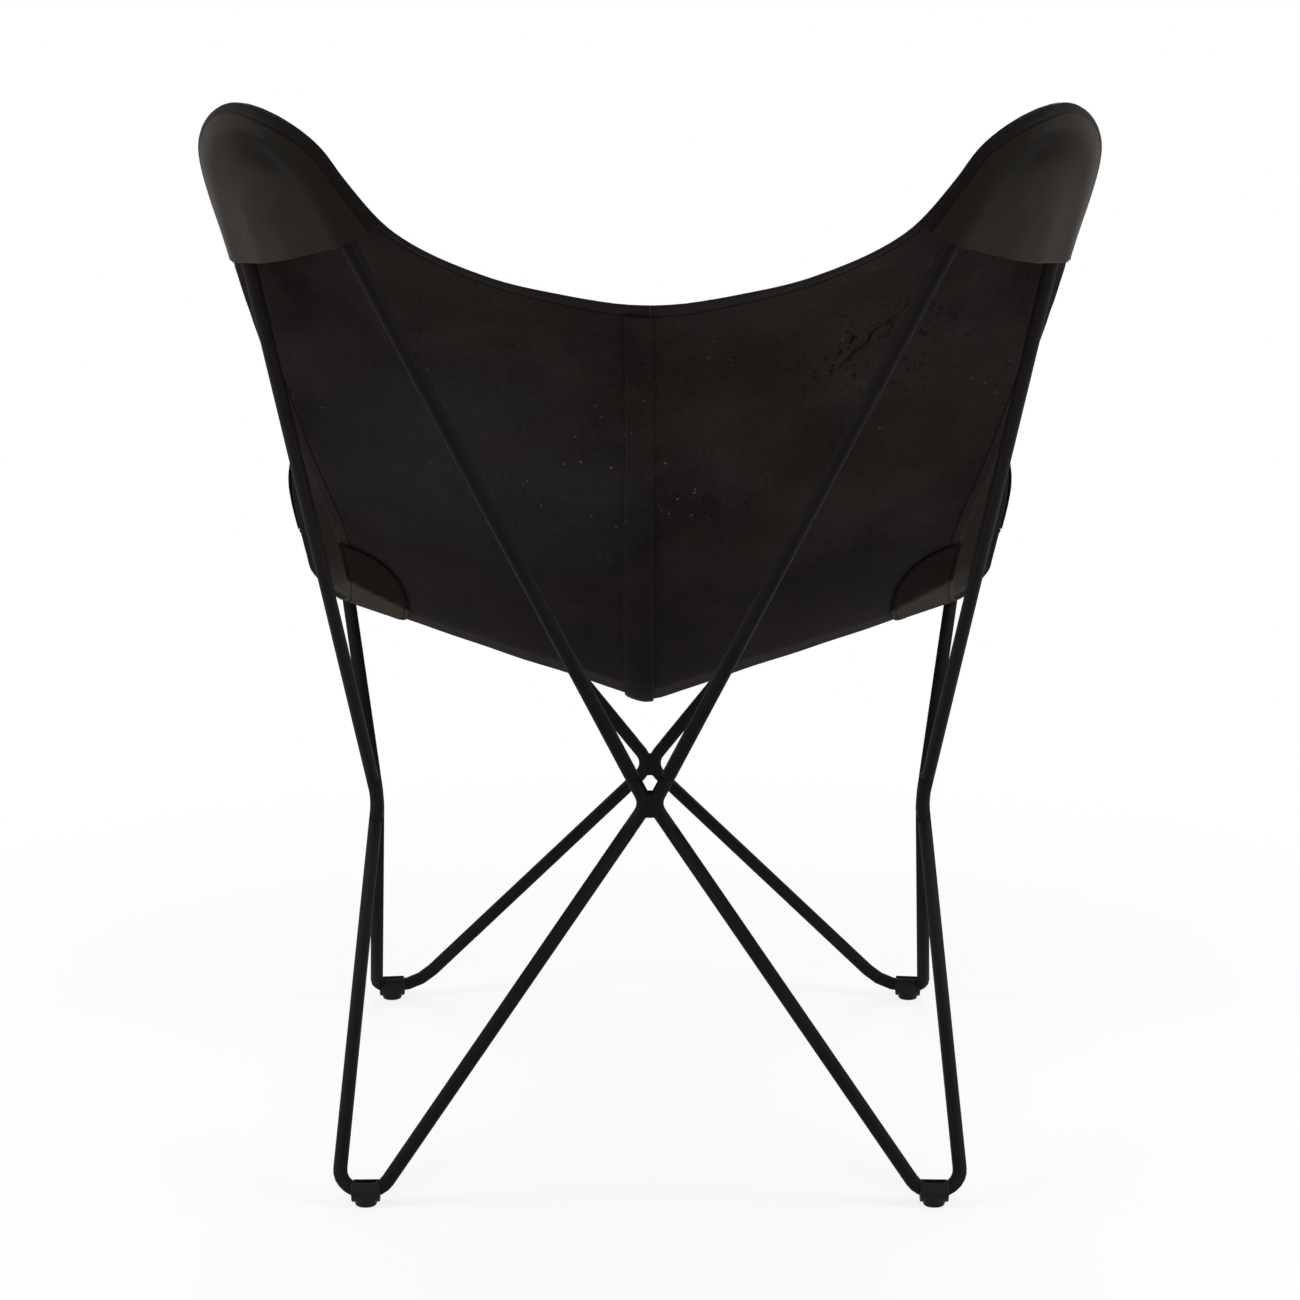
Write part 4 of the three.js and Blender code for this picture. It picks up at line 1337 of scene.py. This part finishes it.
def hem_paths(side, looks):
    """Stitch lines of the hem, behind between the pockets and in front all along, and of the pockets."""
    ear = (top_share(EAR_POCKET.edge_end[0]), side_share(EAR_POCKET.side_end[1]))
    knee = (side_share(KNEE_POCKET.side_end[1]), front_share(KNEE_POCKET.edge_end[0]))
    whole = (EDGE_MARGIN, 1 - EDGE_MARGIN)
    surface = LEATHER_THICKNESS / 2
    paths = []
    for start, end in ((whole[0], ear[0]), (ear[1], knee[0]), (knee[1], whole[1])):
        places, normals = inset_line(start, end, looks.hem_stitch_inset)
        paths.append(to_frame(places - normals * surface, side))
    places, normals = inset_line(*whole, looks.hem_stitch_inset, 3 * PATH_POINTS)
    paths.append(to_frame(places + normals * surface, side))
    for pocket, stretch in ((EAR_POCKET, ear), (KNEE_POCKET, knee)):
        places, _ = inset_line(*stretch, looks.pocket_stitch_inset)
        behind = pocket_offset(pocket, places) - POCKET_THICKNESS
        paths.append(to_frame(places + np.outer(behind, pocket.hoop.front), side))
    return paths


def strip_paths():
    """Stitch lines at both edges of the seam strip, and in front on both sides of the seam."""
    v = np.linspace(STRIP_START, STRIP_END, PATH_POINTS)
    lap_line = LAP_STITCH_INSET - STRIP_LAP
    far_line = STRIP_REACH - FAR_STITCH_INSET
    lines = (
        (lap_line, -STRIP_OFFSET - strip_thickness(LAP_STITCH_INSET)),
        (far_line, -STRIP_OFFSET - strip_thickness(FAR_STITCH_INSET)),
        (-SEAM_STITCH_INSET, LEATHER_THICKNESS / 2),
        (far_line, LEATHER_THICKNESS / 2),
    )
    paths = []
    for reach, offset in lines:
        places, normals = seam_places(np.full_like(v, reach), v)
        paths.append(to_frame(places + normals * offset, 1))
    return paths


def patch_path(side):
    """The stitch line inside a corner patch's curved edge."""
    along = np.linspace(PATCH_PATH_START, 1 - PATCH_PATH_START, PATH_POINTS)
    u, v = patch_shares(np.full_like(along, PATCH_PATH_ACROSS), along)
    places, normals = sheet(u, v, phase_of(side))
    return to_frame(places - normals * (PATCH_OFFSET + POCKET_THICKNESS), side)


def path_object(name, paths):
    """A mesh of bare edges along the paths."""
    points = np.concatenate(paths)
    starts = np.cumsum([0] + [len(path) for path in paths])
    edges = [(i, i + 1) for a, b in zip(starts, starts[1:]) for i in range(a, b - 1)]
    mesh = bpy.data.meshes.new(name)
    mesh.from_pydata(points.tolist(), edges, [])
    return linked(bpy.data.objects.new(name, mesh))


def stitch_group():
    """An empty node group with the stitches' inputs and output, and the names' identifiers."""
    tree = bpy.data.node_groups.new("stitches_along_path", "GeometryNodeTree")
    kinds = dict(Path="Geometry", Pitch="Float", Length="Float", Width="Float", Material="Material")
    keys = {}
    for name, kind in kinds.items():
        socket = tree.interface.new_socket(name, in_out="INPUT", socket_type=f"NodeSocket{kind}")
        keys[name] = socket.identifier
    tree.interface.new_socket("Stitches", in_out="OUTPUT", socket_type="NodeSocketGeometry")
    return tree, keys


def stitch_tree():
    """Nodes that lay stitches along edges at an even pitch, and the identifiers of their inputs."""
    tree, keys = stitch_group()
    given = tree.nodes.new("NodeGroupInput")
    path, pitch, length, width, material = (Wire(tree, given.outputs[name]) for name in keys)
    curve = path.node("GeometryNodeMeshToCurve", None, {"Mesh": path})
    spread = {"Curve": curve, "Length": pitch}
    points = add_node(tree, "GeometryNodeCurveToPoints", {"mode": "LENGTH"}, spread)
    bead = path.node("GeometryNodeMeshUVSphere", None, {"Segments": 6, "Rings": 4, "Radius": 0.5})
    size = path.node("ShaderNodeCombineXYZ", None, {"X": width, "Y": width, "Z": length})
    placed = path.node("GeometryNodeInstanceOnPoints", None, {
        "Points": Wire(tree, points.outputs["Points"]),
        "Instance": bead,
        "Rotation": Wire(tree, points.outputs["Rotation"]),
        "Scale": size,
    })
    real = path.node("GeometryNodeRealizeInstances", None, {"Geometry": placed})
    done = path.node("GeometryNodeSetMaterial", None, {"Geometry": real, "Material": material})
    add_node(tree, "NodeGroupOutput", None, {"Stitches": done})
    return tree, keys


def stitched(name, paths, looks, material):
    """Stitches along the paths as a plain mesh."""
    piece = path_object(name, paths)
    modifier = piece.modifiers.new("stitches", "NODES")
    modifier.node_group, keys = stitch_tree()
    modifier[keys["Pitch"]] = looks.stitch_pitch
    modifier[keys["Length"]] = looks.stitch_length
    modifier[keys["Width"]] = looks.thread_width
    modifier[keys["Material"]] = material
    mesh = evaluated_mesh(piece)
    piece.modifiers.remove(modifier)
    piece.data = mesh
    mesh.shade_smooth()
    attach(piece, "root")
    return piece


class CHAIR_OT_stitches(bpy.types.Operator):
    """Sew the hems, pockets, strip and patches"""

    bl_idname = "chair.stitches"
    bl_label = "Stitches"

    def execute(self, context):
        looks = context.scene.chair_looks
        thread = thread_material(tuple(looks.thread_colour))
        for word, side in SIDES:
            paths = hem_paths(side, looks) + [patch_path(side)]
            stitched(f"stitches_{word}", paths, looks, thread)
        stitched("stitches_centre", strip_paths(), looks, thread)
        return {"FINISHED"}


# Stage

def seen_directly(tree):
    """1 for rays from the camera and for rays mirrored or let through by a surface, else 0."""
    path = add_node(tree, "ShaderNodeLightPath")
    camera, glossy, through = (
        Wire(tree, path.outputs[f"Is {kind} Ray"]) for kind in ("Camera", "Glossy", "Transmission"))
    return camera.maths("MINIMUM", camera + glossy + through, 1)


def floor_material(colour):
    """A pale floor that keeps the chair's soft shadow and turns white away from it."""
    finish = Finish("floor", specular=0)
    finish.put("Base Color", (*colour, 1))
    finish.put("Roughness", 0.9)
    tree = finish.tree
    shadow = SHADOW_SHARE * finish.place.within((0, 0, 0), SHADOW_START, SHADOW_END)
    white_share = seen_directly(tree) * (1 - shadow)
    white = add_node(tree, "ShaderNodeEmission", None, {"Color": (1, 1, 1, 1), "Strength": 1.0})
    mix = add_node(tree, "ShaderNodeMixShader", None, {0: white_share})
    tree.links.new(finish.shader.outputs[0], mix.inputs[1])
    tree.links.new(white.outputs[0], mix.inputs[2])
    tree.links.new(mix.outputs[0], tree.nodes["Material Output"].inputs["Surface"])
    return finish.material


def floor_object(colour):
    """A round floor under the chair."""
    work = bmesh.new()
    bmesh.ops.create_circle(work, cap_ends=True, segments=FLOOR_SIDES, radius=FLOOR_RADIUS)
    mesh = bpy.data.meshes.new("floor")
    work.to_mesh(mesh)
    work.free()
    mesh.materials.append(floor_material(colour))
    floor = linked(bpy.data.objects.new("floor", mesh))
    floor.location.z = -FLOOR_DROP


def area_light(name, place, size, power):
    """A soft square light that faces the chair."""
    data = bpy.data.lights.new(name, "AREA")
    data.shape = "RECTANGLE"
    data.size, data.size_y = size
    data.energy = power
    light = linked(bpy.data.objects.new(name, data))
    light.location = place
    aim = Vector(LIGHT_TARGET) - Vector(place)
    light.rotation_euler = aim.to_track_quat("-Z", "Y").to_euler()


def room(strength):
    """Even light from all around, and plain white behind the chair."""
    world = bpy.context.scene.world or bpy.data.worlds.new("room")
    bpy.context.scene.world = world
    world.use_nodes = True
    tree = world.node_tree
    back = tree.nodes["Background"]
    back.inputs["Color"].default_value = (1, 1, 1, 1)
    tree.links.new(lerp(strength, 1, seen_directly(tree)).socket, back.inputs["Strength"])


def camera_object(looks):
    """The camera behind the chair, at the photo's angle."""
    data = bpy.data.cameras.new("camera")
    data.sensor_width = SENSOR_WIDTH
    data.lens = looks.camera_lens
    camera = linked(bpy.data.objects.new("camera", data))
    camera.location = (0, looks.camera_distance, looks.camera_height)
    camera.rotation_euler = (math.pi / 2 - looks.camera_tilt, 0, math.pi)
    bpy.context.scene.camera = camera


class CHAIR_OT_stage(bpy.types.Operator):
    """Set up the floor, the lights and the camera"""

    bl_idname = "chair.stage"
    bl_label = "Stage"

    def execute(self, context):
        looks = context.scene.chair_stage
        floor_object(tuple(looks.floor_colour))
        for word, place in SIDE_LIGHT_PLACES.items():
            area_light(f"side_light_{word}", place, SIDE_LIGHT_SIZE, looks.side_power)
        area_light("fill_light", FILL_LIGHT_PLACE, WIDE_LIGHT_SIZE, looks.fill_power)
        area_light("front_light", FRONT_LIGHT_PLACE, WIDE_LIGHT_SIZE, looks.front_power)
        room(looks.room_light)
        camera_object(looks)
        context.scene.view_settings.view_transform = "Standard"
        return {"FINISHED"}


# Add-on

OPERATORS = (
    CHAIR_OT_frame,
    CHAIR_OT_glides,
    CHAIR_OT_panels,
    CHAIR_OT_strip,
    CHAIR_OT_pockets,
    CHAIR_OT_patches,
    CHAIR_OT_stitches,
    CHAIR_OT_stage,
)


class CHAIR_PT_chair(bpy.types.Panel):
    """Lists the steps that build the chair's looks"""

    bl_label = "Butterfly chair"
    bl_idname = "CHAIR_PT_chair"
    bl_space_type = "VIEW_3D"
    bl_region_type = "UI"
    bl_category = "Chair"

    def draw(self, context):
        for group in (context.scene.chair_looks, context.scene.chair_stage):
            for key in group.__annotations__:
                self.layout.prop(group, key)
        for operator in OPERATORS:
            self.layout.operator(operator.bl_idname)


CLASSES = (ChairLooks, StageLooks, *OPERATORS, CHAIR_PT_chair)


def register():
    """Registers the classes and the scene's settings."""
    for item in CLASSES:
        bpy.utils.register_class(item)
    bpy.types.Scene.chair_looks = PointerProperty(type=ChairLooks)
    bpy.types.Scene.chair_stage = PointerProperty(type=StageLooks)


def unregister():
    """Removes what register added."""
    del bpy.types.Scene.chair_stage
    del bpy.types.Scene.chair_looks
    for item in reversed(CLASSES):
        bpy.utils.unregister_class(item)


def main():
    """Builds everything."""
    register()
    bpy.ops.chair.frame()
    bpy.ops.chair.glides()
    bpy.ops.chair.panels()
    bpy.ops.chair.strip()
    bpy.ops.chair.pockets()
    bpy.ops.chair.patches()
    bpy.ops.chair.stitches()
    bpy.ops.chair.stage()


if __name__ == "__main__":
    main()
